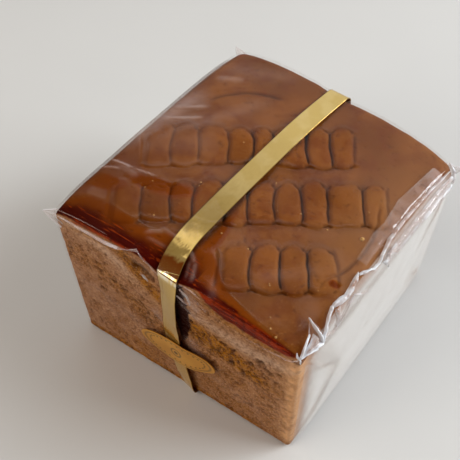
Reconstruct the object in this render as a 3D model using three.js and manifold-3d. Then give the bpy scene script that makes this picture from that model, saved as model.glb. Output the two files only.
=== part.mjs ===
// A square gingerbread loaf in clear wrap, with a gold ribbon round it and an oval seal on its front.
// Millimetres, +Z up. The origin is on the surface that the loaf stands on, under the middle of the
// box round it. The front, where the cut crumb and the seal show, faces -Y. The ends, where the
// wrap is folded like an envelope, face +X and -X.
import * as THREE from 'three';
import { mergeVertices } from 'three/addons/utils/BufferGeometryUtils.js';
import Module from 'manifold-3d';

const wasm = await Module();
wasm.setup();

// Driving dimensions
const LOAF_WIDTH = 110; // along X
const LOAF_DEPTH = 114; // along Y
const CORNER_HEIGHT = 79.5; // the top at the corners, before the crown
const EDGE_CROWN = 5.8; // rise of the top at the middle of each edge
const CENTRE_CROWN = 1.2; // further rise in the middle of the top
const CRUST_ROUND = 5; // radius of the crust's edge at the back and ends
const CUT_ROUND = 2.2; // radius of the cut edges at the front and round the base
const RIBBON_WIDTH = 9;
const RIBBON_THICKNESS = 0.4;
const GAP = 0.3; // clearance between pieces that touch
const SEAL_LENGTH = 37.4;
const SEAL_HEIGHT = 15;
const SEAL_THICKNESS = 0.5;

// How far each corner lies from the true box, in mm, as baked and cut
const CORNER_SHIFTS = {
  topFrontLeft: [-3, -3, 1.2],
  topFrontRight: [0.3, 0.6, 0.4],
  topBackRight: [2.4, -0.8, -1.5],
  topBackLeft: [0.8, 2.2, 0.8],
  baseFrontLeft: [1.2, -1.4, 0],
  baseFrontRight: [-0.4, 2, 0],
  baseBackRight: [-0.4, -1, 0],
  baseBackLeft: [0.8, 0.6, 0],
};

// The raised pads in the crust: rows that run across the top from near left to far right
const ROW_TURN = THREE.MathUtils.degToRad(36);
const PAD_PITCH = 10.2;
const PAD_HALF_WIDTH = 5.2; // more than half the pitch, so that neighbours share a groove
const PAD_HALF_LENGTH = 9.8;
const PAD_ROWS = [
  { across: 16, first: -4, last: 3 },
  { across: -13, first: -5, last: 4 },
  { across: -43, first: -1, last: 2 },
];
const PAD_RISE = 0.8;
const GROOVE_DEPTH = 1.4;
const GROOVE_WIDTH = 1.3;
// Two plain curved grooves beside the rows, as arcs: centre, radius and half the angle they span
const GROOVE_ARCS = [
  { x: 9, y: -8, radius: 40, towards: THREE.MathUtils.degToRad(2), halfSpan: 0.6 },
  { x: -14, y: 8, radius: 31, towards: THREE.MathUtils.degToRad(128), halfSpan: 0.55 },
];

// How fine the loaf's faces are
const TOP_CELLS = 64;
const SIDE_COLUMNS = [
  -1, -0.985, -0.955, -0.9, -0.72, -0.48, -0.24, 0, 0.24, 0.48, 0.72, 0.9, 0.955, 0.985, 1,
];
const SIDE_LEVELS = [0.978, 0.94, 0.86, 0.72, 0.56, 0.4, 0.25, 0.12, 0.04, 0.014, 0];
const BASE_INSETS = [0.983, 0.955]; // rings on the underside: halfway round its edge, and on the flat

const { clamp, lerp, smoothstep } = THREE.MathUtils;

// A repeatable number from 0 to 1 for each whole number
function scatter(index) {
  const wave = Math.sin(index * 12.9898) * 43758.5453;
  return wave - Math.floor(wave);
}

// Signed distance from (x, y) to a pad with round ends, below zero inside
function padDistance(x, y, halfWidth, halfLength) {
  const reach = Math.max(halfLength - halfWidth, 0);
  const nearest = clamp(y, -reach, reach);
  return Math.hypot(x, y - nearest) - halfWidth;
}

// Height of the crust's pads and grooves at a place on the top
function relief(x, y) {
  const along = x * Math.cos(ROW_TURN) + y * Math.sin(ROW_TURN);
  const across = -x * Math.sin(ROW_TURN) + y * Math.cos(ROW_TURN);
  let swell = 0;
  let groove = 0;
  PAD_ROWS.forEach((row, rowIndex) => {
    for (let pad = row.first; pad <= row.last; pad++) {
      const seed = rowIndex * 37 + pad + 11;
      const centre = pad * PAD_PITCH + 1.6 * (scatter(seed) - 0.5);
      const halfWidth = PAD_HALF_WIDTH * (0.93 + 0.12 * scatter(seed + 101));
      const halfLength = PAD_HALF_LENGTH * (0.86 + 0.28 * scatter(seed + 202));
      const lean = 0.16 * (scatter(seed + 303) - 0.5);
      const offset = across - row.across - 1.6 * (scatter(seed + 404) - 0.5);
      const distance = padDistance(along - centre - lean * offset, offset, halfWidth, halfLength);
      swell = Math.max(swell, smoothstep(-distance, 0, 4.5));
      groove = Math.max(groove, Math.exp(-((distance / GROOVE_WIDTH) ** 2)));
    }
  });
  for (const arc of GROOVE_ARCS) {
    const angle = Math.atan2(y - arc.y, x - arc.x) - arc.towards;
    const away = Math.hypot(x - arc.x, y - arc.y) - arc.radius;
    const fade = smoothstep(arc.halfSpan - Math.abs(angle), 0, 0.15);
    groove = Math.max(groove, 0.7 * fade * Math.exp(-((away / GROOVE_WIDTH) ** 2)));
  }
  return PAD_RISE * swell - GROOVE_DEPTH * groove;
}

// The block with its eight uneven corners: each shift weighs in by how near its corner is
function cornerShift(u, v, w) {
  const right = (u + 1) / 2;
  const back = (v + 1) / 2;
  const shift = new THREE.Vector3();
  for (const [name, mm] of Object.entries(CORNER_SHIFTS)) {
    const weight = (name.startsWith('top') ? w : 1 - w)
      * (name.includes('Back') ? back : 1 - back)
      * (name.endsWith('Right') ? right : 1 - right);
    shift.addScaledVector(new THREE.Vector3(...mm), weight);
  }
  return shift;
}

// A point of the wrapped block. u and v run from -1 to 1 over the width and depth and w from 0 to 1
// over the height, on the faces of a plain box. The box's edges are rounded, its corners shifted,
// its top crowned and its ends and back a little swollen.
function blockPoint(u, v, w) {
  const topRound = lerp(CUT_ROUND, CRUST_ROUND, smoothstep(v, -1, -0.4));
  const round = lerp(CUT_ROUND, topRound, smoothstep(w, 0.3, 0.8));
  const halfX = LOAF_WIDTH / 2;
  const halfY = LOAF_DEPTH / 2;
  const box = new THREE.Vector3(u * halfX, v * halfY, w * CORNER_HEIGHT);
  const core = new THREE.Vector3(
    clamp(box.x, round - halfX, halfX - round),
    clamp(box.y, round - halfY, halfY - round),
    clamp(box.z, round, CORNER_HEIGHT - round),
  );
  const normal = box.clone().sub(core).normalize();
  const point = core.addScaledVector(normal, round);
  const a = point.x / halfX;
  const b = point.y / halfY;
  const c = point.z / CORNER_HEIGHT;
  const crown = EDGE_CROWN * (1 - (a * b) ** 4) + CENTRE_CROWN * (1 - a * a) * (1 - b * b);
  const pinchFront = 4.4 * Math.exp(-(((point.x + 2) / 9) ** 2)) * smoothstep(-b, 0.72, 1);
  const pinchBack = 1.4 * Math.exp(-(((point.x + 2) / 9) ** 2)) * smoothstep(b, 0.8, 1);
  const upFacing = clamp(normal.z, 0, 1) ** 2;
  const inset = 1 - smoothstep(Math.max(Math.abs(a), Math.abs(b)), 0.86, 0.97);
  const backBulge = 1.8 * (1 - a ** 4) * smoothstep(c, 0, 0.8);
  const endSwell = 0.8 * (1 - b * b) * (c * (1 - c) * 4);
  point.z += (crown - pinchFront - pinchBack) * c * c;
  point.z += relief(point.x, point.y) * upFacing * inset;
  point.y += backBulge * smoothstep(b, 0.6, 1);
  point.x += endSwell * normal.x;
  // The wrap stands off the front edge of the crust between the left corner and the ribbon
  const fromEdge = Math.max((v + 1) * halfY, (1 - w) * CORNER_HEIGHT);
  const tent = 1.6 * Math.exp(-((fromEdge / 3.2) ** 2)) * smoothstep(u, -0.98, -0.55)
    * (1 - smoothstep(u, -0.34, -0.16));
  point.y -= tent;
  point.z += 0.7 * tent;
  return point.add(cornerShift(a, b, c));
}

// Joins two lines of points, run in the same direction, with one row of triangles
function zip(faces, upper, lower) {
  let i = 0;
  let j = 0;
  while (i < upper.length - 1 || j < lower.length - 1) {
    const nextUpper = i < upper.length - 1 ? upper[i + 1].at : Infinity;
    const nextLower = j < lower.length - 1 ? lower[j + 1].at : Infinity;
    if (nextUpper <= nextLower) {
      faces.push(upper[i].id, lower[j].id, upper[i + 1].id);
      i++;
    } else {
      faces.push(upper[i].id, lower[j].id, lower[j + 1].id);
      j++;
    }
  }
}

// The whole block as one closed skin: a fine top, coarser sides joined to it, and a flat base
function blockGeometry() {
  const positions = [];
  const faces = [];
  const addPoint = (point) => positions.push(...point.toArray()) / 3 - 1;
  const across = Array.from({ length: TOP_CELLS + 1 }, (_, i) => (2 * i) / TOP_CELLS - 1);
  const top = across.map((v) => across.map((u) => addPoint(blockPoint(u, v, 1))));
  for (let j = 0; j < TOP_CELLS; j++) {
    for (let i = 0; i < TOP_CELLS; i++) {
      const [p, q, r, s] = [top[j][i], top[j][i + 1], top[j + 1][i + 1], top[j + 1][i]];
      faces.push(p, q, r, p, r, s);
    }
  }
  // The four sides, each with its run along the top's border, seen from outside
  const last = TOP_CELLS;
  const sides = [
    { at: (s) => [s, -1], border: (i) => top[0][i] },
    { at: (s) => [1, s], border: (i) => top[i][last] },
    { at: (s) => [-s, 1], border: (i) => top[last][last - i] },
    { at: (s) => [-1, -s], border: (i) => top[last - i][0] },
  ];
  const columns = SIDE_COLUMNS.slice(0, -1);
  const ringAt = (w, inset) => sides.map((side) => columns.map((s) => {
    const [u, v] = side.at(s);
    return addPoint(blockPoint(inset * u, inset * v, w));
  }));
  const rings = [...SIDE_LEVELS.map((w) => ringAt(w, 1)), ...BASE_INSETS.map((inset) => ringAt(0, inset))];
  const ringLine = (ring, side) => [
    ...columns.map((s, i) => ({ at: s, id: ring[side][i] })),
    { at: 1, id: ring[(side + 1) % 4][0] },
  ];
  sides.forEach((side, index) => {
    let upper = across.map((s, i) => ({ at: s, id: side.border(i) }));
    for (const ring of rings) {
      const lower = ringLine(ring, index);
      zip(faces, upper, lower);
      upper = lower;
    }
  });
  const base = rings.at(-1).flat();
  const middle = addPoint(new THREE.Vector3(0, 0, 0));
  base.forEach((id, i) => faces.push(middle, base[(i + 1) % base.length], id));
  const geometry = new THREE.BufferGeometry();
  geometry.setAttribute('position', new THREE.Float32BufferAttribute(positions, 3));
  geometry.setIndex(faces);
  return geometry;
}

// A geometry as a solid for joining and cutting, and back
function solidOf(geometry) {
  const bare = geometry.clone();
  bare.deleteAttribute('normal');
  bare.deleteAttribute('uv');
  const merged = mergeVertices(bare, 1e-4);
  return new wasm.Manifold(new wasm.Mesh({
    numProp: 3,
    vertProperties: new Float32Array(merged.attributes.position.array),
    triVerts: new Uint32Array(merged.index.array),
  }));
}

function geometryOf(solid) {
  const mesh = solid.getMesh();
  const geometry = new THREE.BufferGeometry();
  geometry.setAttribute('position', new THREE.Float32BufferAttribute(mesh.vertProperties, 3));
  geometry.setIndex(Array.from(mesh.triVerts));
  return geometry;
}

// A flap of wrap on an end face: a convex outline of corners [y, z, how far proud of the face]
function endFlap(corners, side) {
  const sunk = 5;
  const shiftAt = (y, z) => cornerShift(side, (2 * y) / LOAF_DEPTH, z / CORNER_HEIGHT).x;
  const faceAt = (y, z) => (side * LOAF_WIDTH) / 2 + shiftAt(y, z);
  const outer = corners.map(([y, z, proud]) => [faceAt(y, z) + side * proud, y, z]);
  const inner = corners.map(([y, z]) => [side * (LOAF_WIDTH / 2 - sunk), y, z]);
  const count = corners.length;
  const faces = [];
  for (let k = 1; k < count - 1; k++) {
    faces.push([0, k, k + 1], [count, count + k + 1, count + k]);
  }
  for (let k = 0; k < count; k++) {
    const next = (k + 1) % count;
    faces.push([k, count + k, count + next], [k, count + next, next]);
  }
  const ordered = side > 0 ? faces : faces.map(([p, q, r]) => [p, r, q]);
  const geometry = new THREE.BufferGeometry();
  geometry.setAttribute('position', new THREE.Float32BufferAttribute([...outer, ...inner].flat(), 3));
  geometry.setIndex(ordered.flat());
  return solidOf(geometry);
}

// The envelope fold of one end: two side flaps, the base flap over them and the top flap last
const FLAP_REACH = 27; // how far the side flaps' points come in from the front and back
function endFold(side) {
  const front = -LOAF_DEPTH / 2 + 3;
  const back = LOAF_DEPTH / 2 - 4;
  const [low, high] = [2.5, CORNER_HEIGHT - 4];
  const middle = CORNER_HEIGHT / 2 - 3;
  const flaps = [
    endFlap([[front, low, 0.3], [front + FLAP_REACH, middle, 2.4], [front, high, 0.3]], side),
    endFlap([[back, low, 0.3], [back, high, 0.3], [back - FLAP_REACH, middle, 2.4]], side),
    endFlap([
      [front + 2, low, 0.3], [back - 2, low, 0.3],
      [back - FLAP_REACH + 3, 44, 3.1], [front + FLAP_REACH - 3, 44, 3.1],
    ], side),
    endFlap([
      [front + 2, high, 0.3], [front + FLAP_REACH, 27, 3.8],
      [back - FLAP_REACH, 27, 3.8], [back - 2, high, 0.3],
    ], side),
  ];
  return flaps.reduce((sum, flap) => sum.add(flap));
}

// A small pointed ear of wrap at a top corner: a thin blade that points away from the block
const EAR_LENGTH = 5;
const EAR_THICKNESS = 0.9;
function cornerEar(u, v, lift) {
  const shape = new THREE.Shape([
    new THREE.Vector2(EAR_LENGTH, 0), new THREE.Vector2(-4, 4.2), new THREE.Vector2(-4, -4.2),
  ]);
  const geometry = new THREE.ExtrudeGeometry(shape, { depth: EAR_THICKNESS, bevelEnabled: false });
  geometry.translate(0, 0, -EAR_THICKNESS / 2);
  geometry.rotateX(0.5 * u);
  geometry.rotateY(-0.3);
  geometry.rotateZ(Math.atan2(0.45 * v, u));
  const corner = blockPoint(u, v, 1);
  geometry.translate(corner.x, corner.y, corner.z + lift);
  return solidOf(geometry);
}

// The ribbon's route as guide points, each with the length over which it turns there and how far,
// in degrees, its right edge is turned forward off the loaf
const RIBBON_ROUTE = [
  { point: [-0.9, 60.2, 84.6], turn: 5, lean: 0 },
  { point: [-2.3, 32, 88], turn: 14, lean: 0 },
  { point: [-4.6, -22, 88.2], turn: 14, lean: 0 },
  { point: [-5.4, -43, 87.2], turn: 5.8, lean: 0 },
  { point: [-3.9, -53, 85.4], turn: 4, lean: 1 },
  { point: [-2.2, -58.2, 83], turn: 1.4, lean: 3 },
  { point: [-2.4, -59.1, 62], turn: 9, lean: 14 },
  { point: [-2.1, -58.9, 38], turn: 9, lean: 9 },
  { point: [1.5, -58.9, 18], turn: 7, lean: 10 },
  { point: [3, -59.2, 4.6], turn: 2, lean: 16 },
  { point: [3.4, -59.3, 0.4], turn: 2.2, lean: 4 },
  { point: [2.2, -40, 0.4], turn: 8, lean: 0 },
  { point: [-1.1, 60.4, 0.4], turn: 3, lean: 0 },
];

// The route with every corner eased into a curve, as one closed line of points
function ribbonRoute() {
  const guides = RIBBON_ROUTE.map((guide) => ({ ...guide, at: new THREE.Vector3(...guide.point) }));
  const route = [];
  const add = (at, lean) => route.push({ at, lean: THREE.MathUtils.degToRad(lean) });
  guides.forEach((guide, i) => {
    const before = guides.at(i - 1);
    const after = guides[(i + 1) % guides.length];
    const start = guide.at.clone().add(before.at.clone().sub(guide.at).setLength(guide.turn));
    const end = guide.at.clone().add(after.at.clone().sub(guide.at).setLength(guide.turn));
    const bend = new THREE.QuadraticBezierCurve3(start, guide.at, end);
    bend.getPoints(6).forEach((at) => add(at, guide.lean));
    const nextStart = after.at.clone().add(guide.at.clone().sub(after.at).setLength(after.turn));
    const steps = Math.max(1, Math.round(end.distanceTo(nextStart) / 7));
    for (let k = 1; k < steps; k++) {
      add(end.clone().lerp(nextStart, k / steps), lerp(guide.lean, after.lean, k / steps));
    }
  });
  return route;
}

// A closed flat band along the route, `extra` wider and thicker all round than the ribbon
function ribbonGeometry(extra) {
  const route = ribbonRoute();
  const halfWidth = RIBBON_WIDTH / 2 + extra;
  const halfThickness = RIBBON_THICKNESS / 2 + extra;
  const positions = [];
  const faces = [];
  route.forEach(({ at: centre, lean }, i) => {
    const tangent = route[(i + 1) % route.length].at.clone().sub(route.at(i - 1).at).normalize();
    const across = new THREE.Vector3(Math.cos(lean), -Math.sin(lean), 0);
    across.addScaledVector(tangent, -tangent.dot(across)).normalize();
    const outward = new THREE.Vector3().crossVectors(tangent, across);
    for (const [side, face] of [[-1, -1], [1, -1], [1, 1], [-1, 1]]) {
      const corner = centre.clone();
      corner.addScaledVector(across, side * halfWidth);
      corner.addScaledVector(outward, face * halfThickness);
      positions.push(...corner.toArray());
    }
    const here = i * 4;
    const next = ((i + 1) % route.length) * 4;
    for (let k = 0; k < 4; k++) {
      const [a, b] = [here + k, here + ((k + 1) % 4)];
      const [c, d] = [next + k, next + ((k + 1) % 4)];
      faces.push(a, b, d, a, d, c);
    }
  });
  const geometry = new THREE.BufferGeometry();
  geometry.setAttribute('position', new THREE.Float32BufferAttribute(positions, 3));
  geometry.setIndex(faces);
  return geometry;
}

// The oval seal: a thin plate that stands on the front, over the ribbon
function sealGeometry() {
  const outline = new THREE.Shape();
  outline.absellipse(0, 0, SEAL_LENGTH / 2, SEAL_HEIGHT / 2, 0, Math.PI * 2);
  const geometry = new THREE.ExtrudeGeometry(outline, {
    depth: SEAL_THICKNESS, bevelEnabled: false, curveSegments: 28,
  });
  geometry.rotateX(Math.PI / 2);
  return geometry;
}

const crust = new THREE.MeshStandardMaterial({ color: 0x7d4a28, roughness: 0.6, metalness: 0 });
const gold = new THREE.MeshStandardMaterial({ color: 0xc2a45e, roughness: 0.35, metalness: 0.9 });
const foil = new THREE.MeshStandardMaterial({ color: 0xb98534, roughness: 0.45, metalness: 0.6 });

const ribbon = new THREE.Mesh(ribbonGeometry(0), gold);
ribbon.name = 'ribbon';

const seal = new THREE.Mesh(sealGeometry(), foil);
seal.name = 'seal_sticker';
seal.position.set(0.6, -60, 33);
seal.rotation.z = THREE.MathUtils.degToRad(-1.5);

const ears = [cornerEar(-1, -1, -1), cornerEar(1, 1, -1), cornerEar(-1, 1, -1)];
let wrapped = solidOf(blockGeometry()).add(endFold(1)).add(endFold(-1));
for (const ear of ears) {
  wrapped = wrapped.add(ear);
}
wrapped = wrapped.subtract(solidOf(ribbonGeometry(GAP)));
const loaf = new THREE.Mesh(geometryOf(wrapped), crust);
loaf.name = 'wrapped_loaf';

const part = new THREE.Group();
part.add(loaf, ribbon, seal);

// The origin goes under the middle of the box round the whole part
const bounds = new THREE.Box3().setFromObject(part, true);
const middle = bounds.getCenter(new THREE.Vector3());
part.position.set(-middle.x, -middle.y, -bounds.min.z);

export default part;
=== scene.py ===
"""A square gingerbread loaf in clear wrap, with a gold ribbon round it and an oval seal on its front.

A Blender 4.5 script. Sizes are in millimetres until `mesh_piece` puts them into a mesh, in metres. The
front, with the cut crumb and the seal, faces -Y, and the folded ends of the wrap face +X and -X.
"""
import math

import bpy
import numpy as np
from mathutils import Matrix, Vector


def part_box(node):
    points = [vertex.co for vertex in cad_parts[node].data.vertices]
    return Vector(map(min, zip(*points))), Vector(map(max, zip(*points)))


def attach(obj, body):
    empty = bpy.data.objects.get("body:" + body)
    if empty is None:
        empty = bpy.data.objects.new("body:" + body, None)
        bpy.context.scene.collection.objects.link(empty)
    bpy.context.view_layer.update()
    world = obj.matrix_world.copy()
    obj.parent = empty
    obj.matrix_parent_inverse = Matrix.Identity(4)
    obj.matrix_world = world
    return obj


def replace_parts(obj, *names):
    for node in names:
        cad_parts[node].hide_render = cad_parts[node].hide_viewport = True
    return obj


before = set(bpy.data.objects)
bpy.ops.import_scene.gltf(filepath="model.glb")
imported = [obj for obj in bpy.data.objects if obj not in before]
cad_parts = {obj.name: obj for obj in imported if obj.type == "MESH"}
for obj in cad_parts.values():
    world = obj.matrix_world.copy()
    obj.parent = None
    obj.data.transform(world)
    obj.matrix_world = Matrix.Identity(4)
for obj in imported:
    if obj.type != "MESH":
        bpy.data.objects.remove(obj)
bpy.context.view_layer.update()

# ---------------------------------------------------------------- sizes, as the solids have them

LOAF_WIDTH = 110.0
LOAF_DEPTH = 114.0
CORNER_HEIGHT = 79.5
EDGE_CROWN = 5.8
CENTRE_CROWN = 1.2
CRUST_ROUND = 5.0
CUT_ROUND = 2.2
RIBBON_WIDTH = 9.0
RIBBON_THICKNESS = 0.25
SEAL_LENGTH = 37.4
SEAL_HEIGHT = 15.0
SEAL_THICKNESS = 0.35

CORNER_SHIFTS = {  # mm; baseFrontLeft lies 1.5 mm from its place in the solids, to fit the photograph
    "topFrontLeft": (-3, -3, 1.2),
    "topFrontRight": (0.3, 0.6, 0.4),
    "topBackRight": (2.4, -0.8, -1.5),
    "topBackLeft": (0.8, 2.2, 0.8),
    "baseFrontLeft": (1.9, -2.8, 0),
    "baseFrontRight": (-0.4, 2, 0),
    "baseBackRight": (-0.4, -1, 0),
    "baseBackLeft": (0.8, 0.6, 0),
}

ROW_TURN = math.radians(36)
PAD_PITCH = 10.2
PAD_HALF_LENGTH = 9.8
PAD_ROWS = ((16, -4, 3), (-13, -5, 4), (-43, -1, 2))  # how far across, first and last pad
PAD_RISE = 0.8
PAD_ROUND = 3.6  # how far from a crease a pad is round
LOWER_END_ROUND = 3.8  # how far in from its two ends it is round
UPPER_END_ROUND = 8.5
CREASE_SCATTER = 3.2
CREASE_LEAN = 0.14
CREASE_BOW = 2.4
VALLEY_WIDTH = 2.2
VALLEY_DEPTH = 0.22
GROOVE_DEPTH = 1.4
GROOVE_WIDTH = 0.7  # finer than in the solids, whose faces are too coarse for it
GROOVE_ARCS = (  # centre, radius, the angle it lies at, half the angle it spans
    (9, -8, 40, math.radians(2), 0.6),
    (-14, 8, 31, math.radians(128), 0.55),
)

FRONT_PINCH = 4.4  # how far the ribbon pulls the two top edges down, and how wide
BACK_PINCH = 1.4
PINCH_WIDTH = 9
BACK_SWELL = 1.8
END_SWELL = 0.8

HALF_X = LOAF_WIDTH / 2
HALF_Y = LOAF_DEPTH / 2

# The solids' own frame starts under the block's middle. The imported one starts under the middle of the
# whole box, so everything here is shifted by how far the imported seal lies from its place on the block.
SEAL_PLACE = np.array((0.6, -60.25, 33.0))
seal_low, seal_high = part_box("seal_sticker")
SHIFT = np.array((seal_low + seal_high) / 2) * 1000 - SEAL_PLACE
SHIFT[2] = 0

# ---------------------------------------------------------------- numbers


def smoothstep(x, low, high):
    """0 below low, 1 above high, and an eased ramp between."""
    t = np.clip((x - low) / (high - low), 0, 1)
    return t * t * (3 - 2 * t)


def lerp(a, b, share):
    """The value that lies `share` of the way from a to b."""
    return a + (b - a) * share


def bell(x, width, y=0, height=1):
    """1 in the middle and fading to all sides: about a third at `width` away along x."""
    return np.exp(-((x / width) ** 2) - (y / height) ** 2)


def shoulder(t):
    """0 below 0, 1 above 1, and a quarter of a circle between, steep at first."""
    t = np.clip(t, 0, 1)
    return np.sqrt(t * (2 - t))


def unit(vectors):
    """The same directions with length 1."""
    return vectors / np.maximum(np.linalg.norm(vectors, axis=-1, keepdims=True), 1e-9)


def scatter(index):
    """A repeatable number from 0 to 1 for each whole number."""
    wave = math.sin(index * 12.9898) * 43758.5453
    return wave - math.floor(wave)


def lattice(ix, iy, iz, seed):
    """A repeatable number from 0 to 1 for each cell of a grid."""
    wave = np.sin(ix * 127.1 + iy * 311.7 + iz * 74.7 + seed * 53.3) * 43758.5453
    return wave - np.floor(wave)


def noise(places, cell, seed):
    """Smooth noise from -1 to 1: the numbers of a grid of `cell` mm, eased into each other."""
    scaled = places / np.asarray(cell, float)
    base = np.floor(scaled)
    part = scaled - base
    part = part * part * (3 - 2 * part)
    total = np.zeros(places.shape[:-1])
    for corner in range(8):
        step = np.array((corner & 1, corner >> 1 & 1, corner >> 2 & 1))
        weight = np.prod(np.where(step, part, 1 - part), axis=-1)
        total += weight * lattice(*np.moveaxis(base + step, -1, 0), seed)
    return 2 * total - 1


def flat(x, y):
    """Places on a plane, for noise."""
    return np.stack([x, y, 0 * x], -1)


def through(x, guides):
    """The number at x on straight lines through guide points (x, number)."""
    return np.interp(x, *zip(*guides))


def cavities(x, z, cell, chance, seed, stretch):
    """Depth from 0 to 1 of round-bottomed holes, at most one for each cell of a grid.

    A hole is an oval, `stretch` times as long as high, with its centre and size scattered. `chance`
    may vary over the face."""
    gx = x / (cell * stretch)
    gz = z / cell
    depth = np.zeros(np.shape(x))
    for step_x in (-1, 0, 1):
        for step_z in (-1, 0, 1):
            ix = np.floor(gx) + step_x
            iz = np.floor(gz) + step_z
            away_x = gx - ix - lattice(ix, iz, 1, seed)
            away_z = gz - iz - lattice(ix, iz, 2, seed)
            radius = 0.22 + 0.33 * lattice(ix, iz, 3, seed)
            inside = 1 - (away_x**2 + away_z**2) / radius**2
            there = smoothstep(chance - lattice(ix, iz, 4, seed), 0, 0.08)
            depth = np.maximum(depth, there * np.clip(inside, 0, 1))
    return depth**0.7


# ---------------------------------------------------------------- the block


def relief(x, y):
    """How far the crust swells up in pads, how near the middle of a crease it is there, and how far
    film laid over the pads is held up. All are near 1 at most, and the first is below 0 in a valley.

    Each row of pads is a band. Creases of bell-shaped section, a little bowed, cross it, and the crust
    is round between two of them. The pads' ends are round too, each crease forks round them, and a
    shallow valley lies along the band's two sides. Two arcs of the same section lie beside the rows.
    The film's pads are wider, so that it bridges the creases. Noise makes all outlines wander a bit."""
    place = flat(x, y)
    x = x + 0.5 * noise(place, 9, 51) + 0.3 * noise(place, 3.5, 52)
    y = y + 0.5 * noise(place, 9, 53) + 0.3 * noise(place, 3.5, 54)
    along = x * math.cos(ROW_TURN) + y * math.sin(ROW_TURN)
    across = -x * math.sin(ROW_TURN) + y * math.cos(ROW_TURN)
    swell, groove, bridge, valley = (np.zeros(np.shape(x)) for _ in range(4))
    firm = 1 - 0.45 * smoothstep(-x, 6, 34)
    patchy = np.clip(0.3 + 1.1 * noise(place, 9, 55), 0, 1)
    for row, (place_across, first, last) in enumerate(PAD_ROWS):
        offset = across - place_across
        pads = np.arange(first, last + 1)
        sizes = [0.9 + 0.25 * scatter(row * 37 + pad + 211) for pad in pads]
        half_length = PAD_HALF_LENGTH * np.interp(along, pads * PAD_PITCH, sizes)
        within = np.minimum(along - (first - 0.5) * PAD_PITCH, (last + 0.5) * PAD_PITCH - along)
        row_ends = smoothstep(within, -0.5, 2)
        nearest = within + 0.5
        for k in range(first, last + 2):
            seed = row * 37 + k + 11
            middle = (k - 0.5) * PAD_PITCH + CREASE_SCATTER * (scatter(seed) - 0.5)
            lean = CREASE_LEAN * (scatter(seed + 303) - 0.5)
            bow = CREASE_BOW * (scatter(seed + 101) - 0.5)
            away = np.abs(along - middle - lean * offset - bow * (offset / PAD_HALF_LENGTH) ** 2)
            nearest = np.minimum(nearest, away)
            reach = PAD_HALF_LENGTH * (0.85 + 0.2 * scatter(seed + 202))
            share = (0.7 + 0.3 * scatter(seed + 707)) * (0.5 if k in (first, last + 1) else 1) * firm
            run = smoothstep(reach - np.abs(offset), -1, 3)
            groove = np.maximum(groove, share * run * bell(away, GROOVE_WIDTH))
        round_end = (1 - np.clip(nearest / 4.6, 0, 1)) ** 2 * np.where(offset > 0, 2.6, 1.3)
        inside = half_length - np.abs(offset) - round_end
        ends = shoulder(inside / np.where(offset > 0, UPPER_END_ROUND, LOWER_END_ROUND))
        swell = np.maximum(swell, shoulder(nearest / PAD_ROUND) * ends * row_ends)
        fork = smoothstep(2.4 - nearest, 0, 1.2)
        rim = row_ends * np.where(offset > 0, 0.8 * fork, np.maximum(patchy, fork))
        groove = np.maximum(groove, 0.75 * firm * rim * bell(inside, GROOVE_WIDTH))
        valley = np.maximum(valley, row_ends * bell(inside + 0.8, VALLEY_WIDTH))
        bridge = np.maximum(bridge, shoulder((np.minimum(inside, within) + 1.5) / 6))
    for arc_x, arc_y, radius, towards, half_span in GROOVE_ARCS:
        angle = np.arctan2(y - arc_y, x - arc_x) - towards
        away = np.hypot(x - arc_x, y - arc_y) - radius
        fade = smoothstep(half_span - np.abs(angle), 0, 0.15)
        groove = np.maximum(groove, 0.6 * fade * bell(away, GROOVE_WIDTH))
    return swell - VALLEY_DEPTH * valley * (1 - swell), groove, bridge


def corner_shift(a, b, c):
    """How far a place lies from the true box: the eight corners' shifts, each by its nearness."""
    right = (a + 1) / 2
    back = (b + 1) / 2
    shift = 0
    for name, mm in CORNER_SHIFTS.items():
        weight = c if name.startswith("top") else 1 - c
        weight = weight * (back if "Back" in name else 1 - back)
        weight = weight * (right if name.endswith("Right") else 1 - right)
        shift = shift + weight[..., None] * np.array(mm, float)
    return shift


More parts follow.
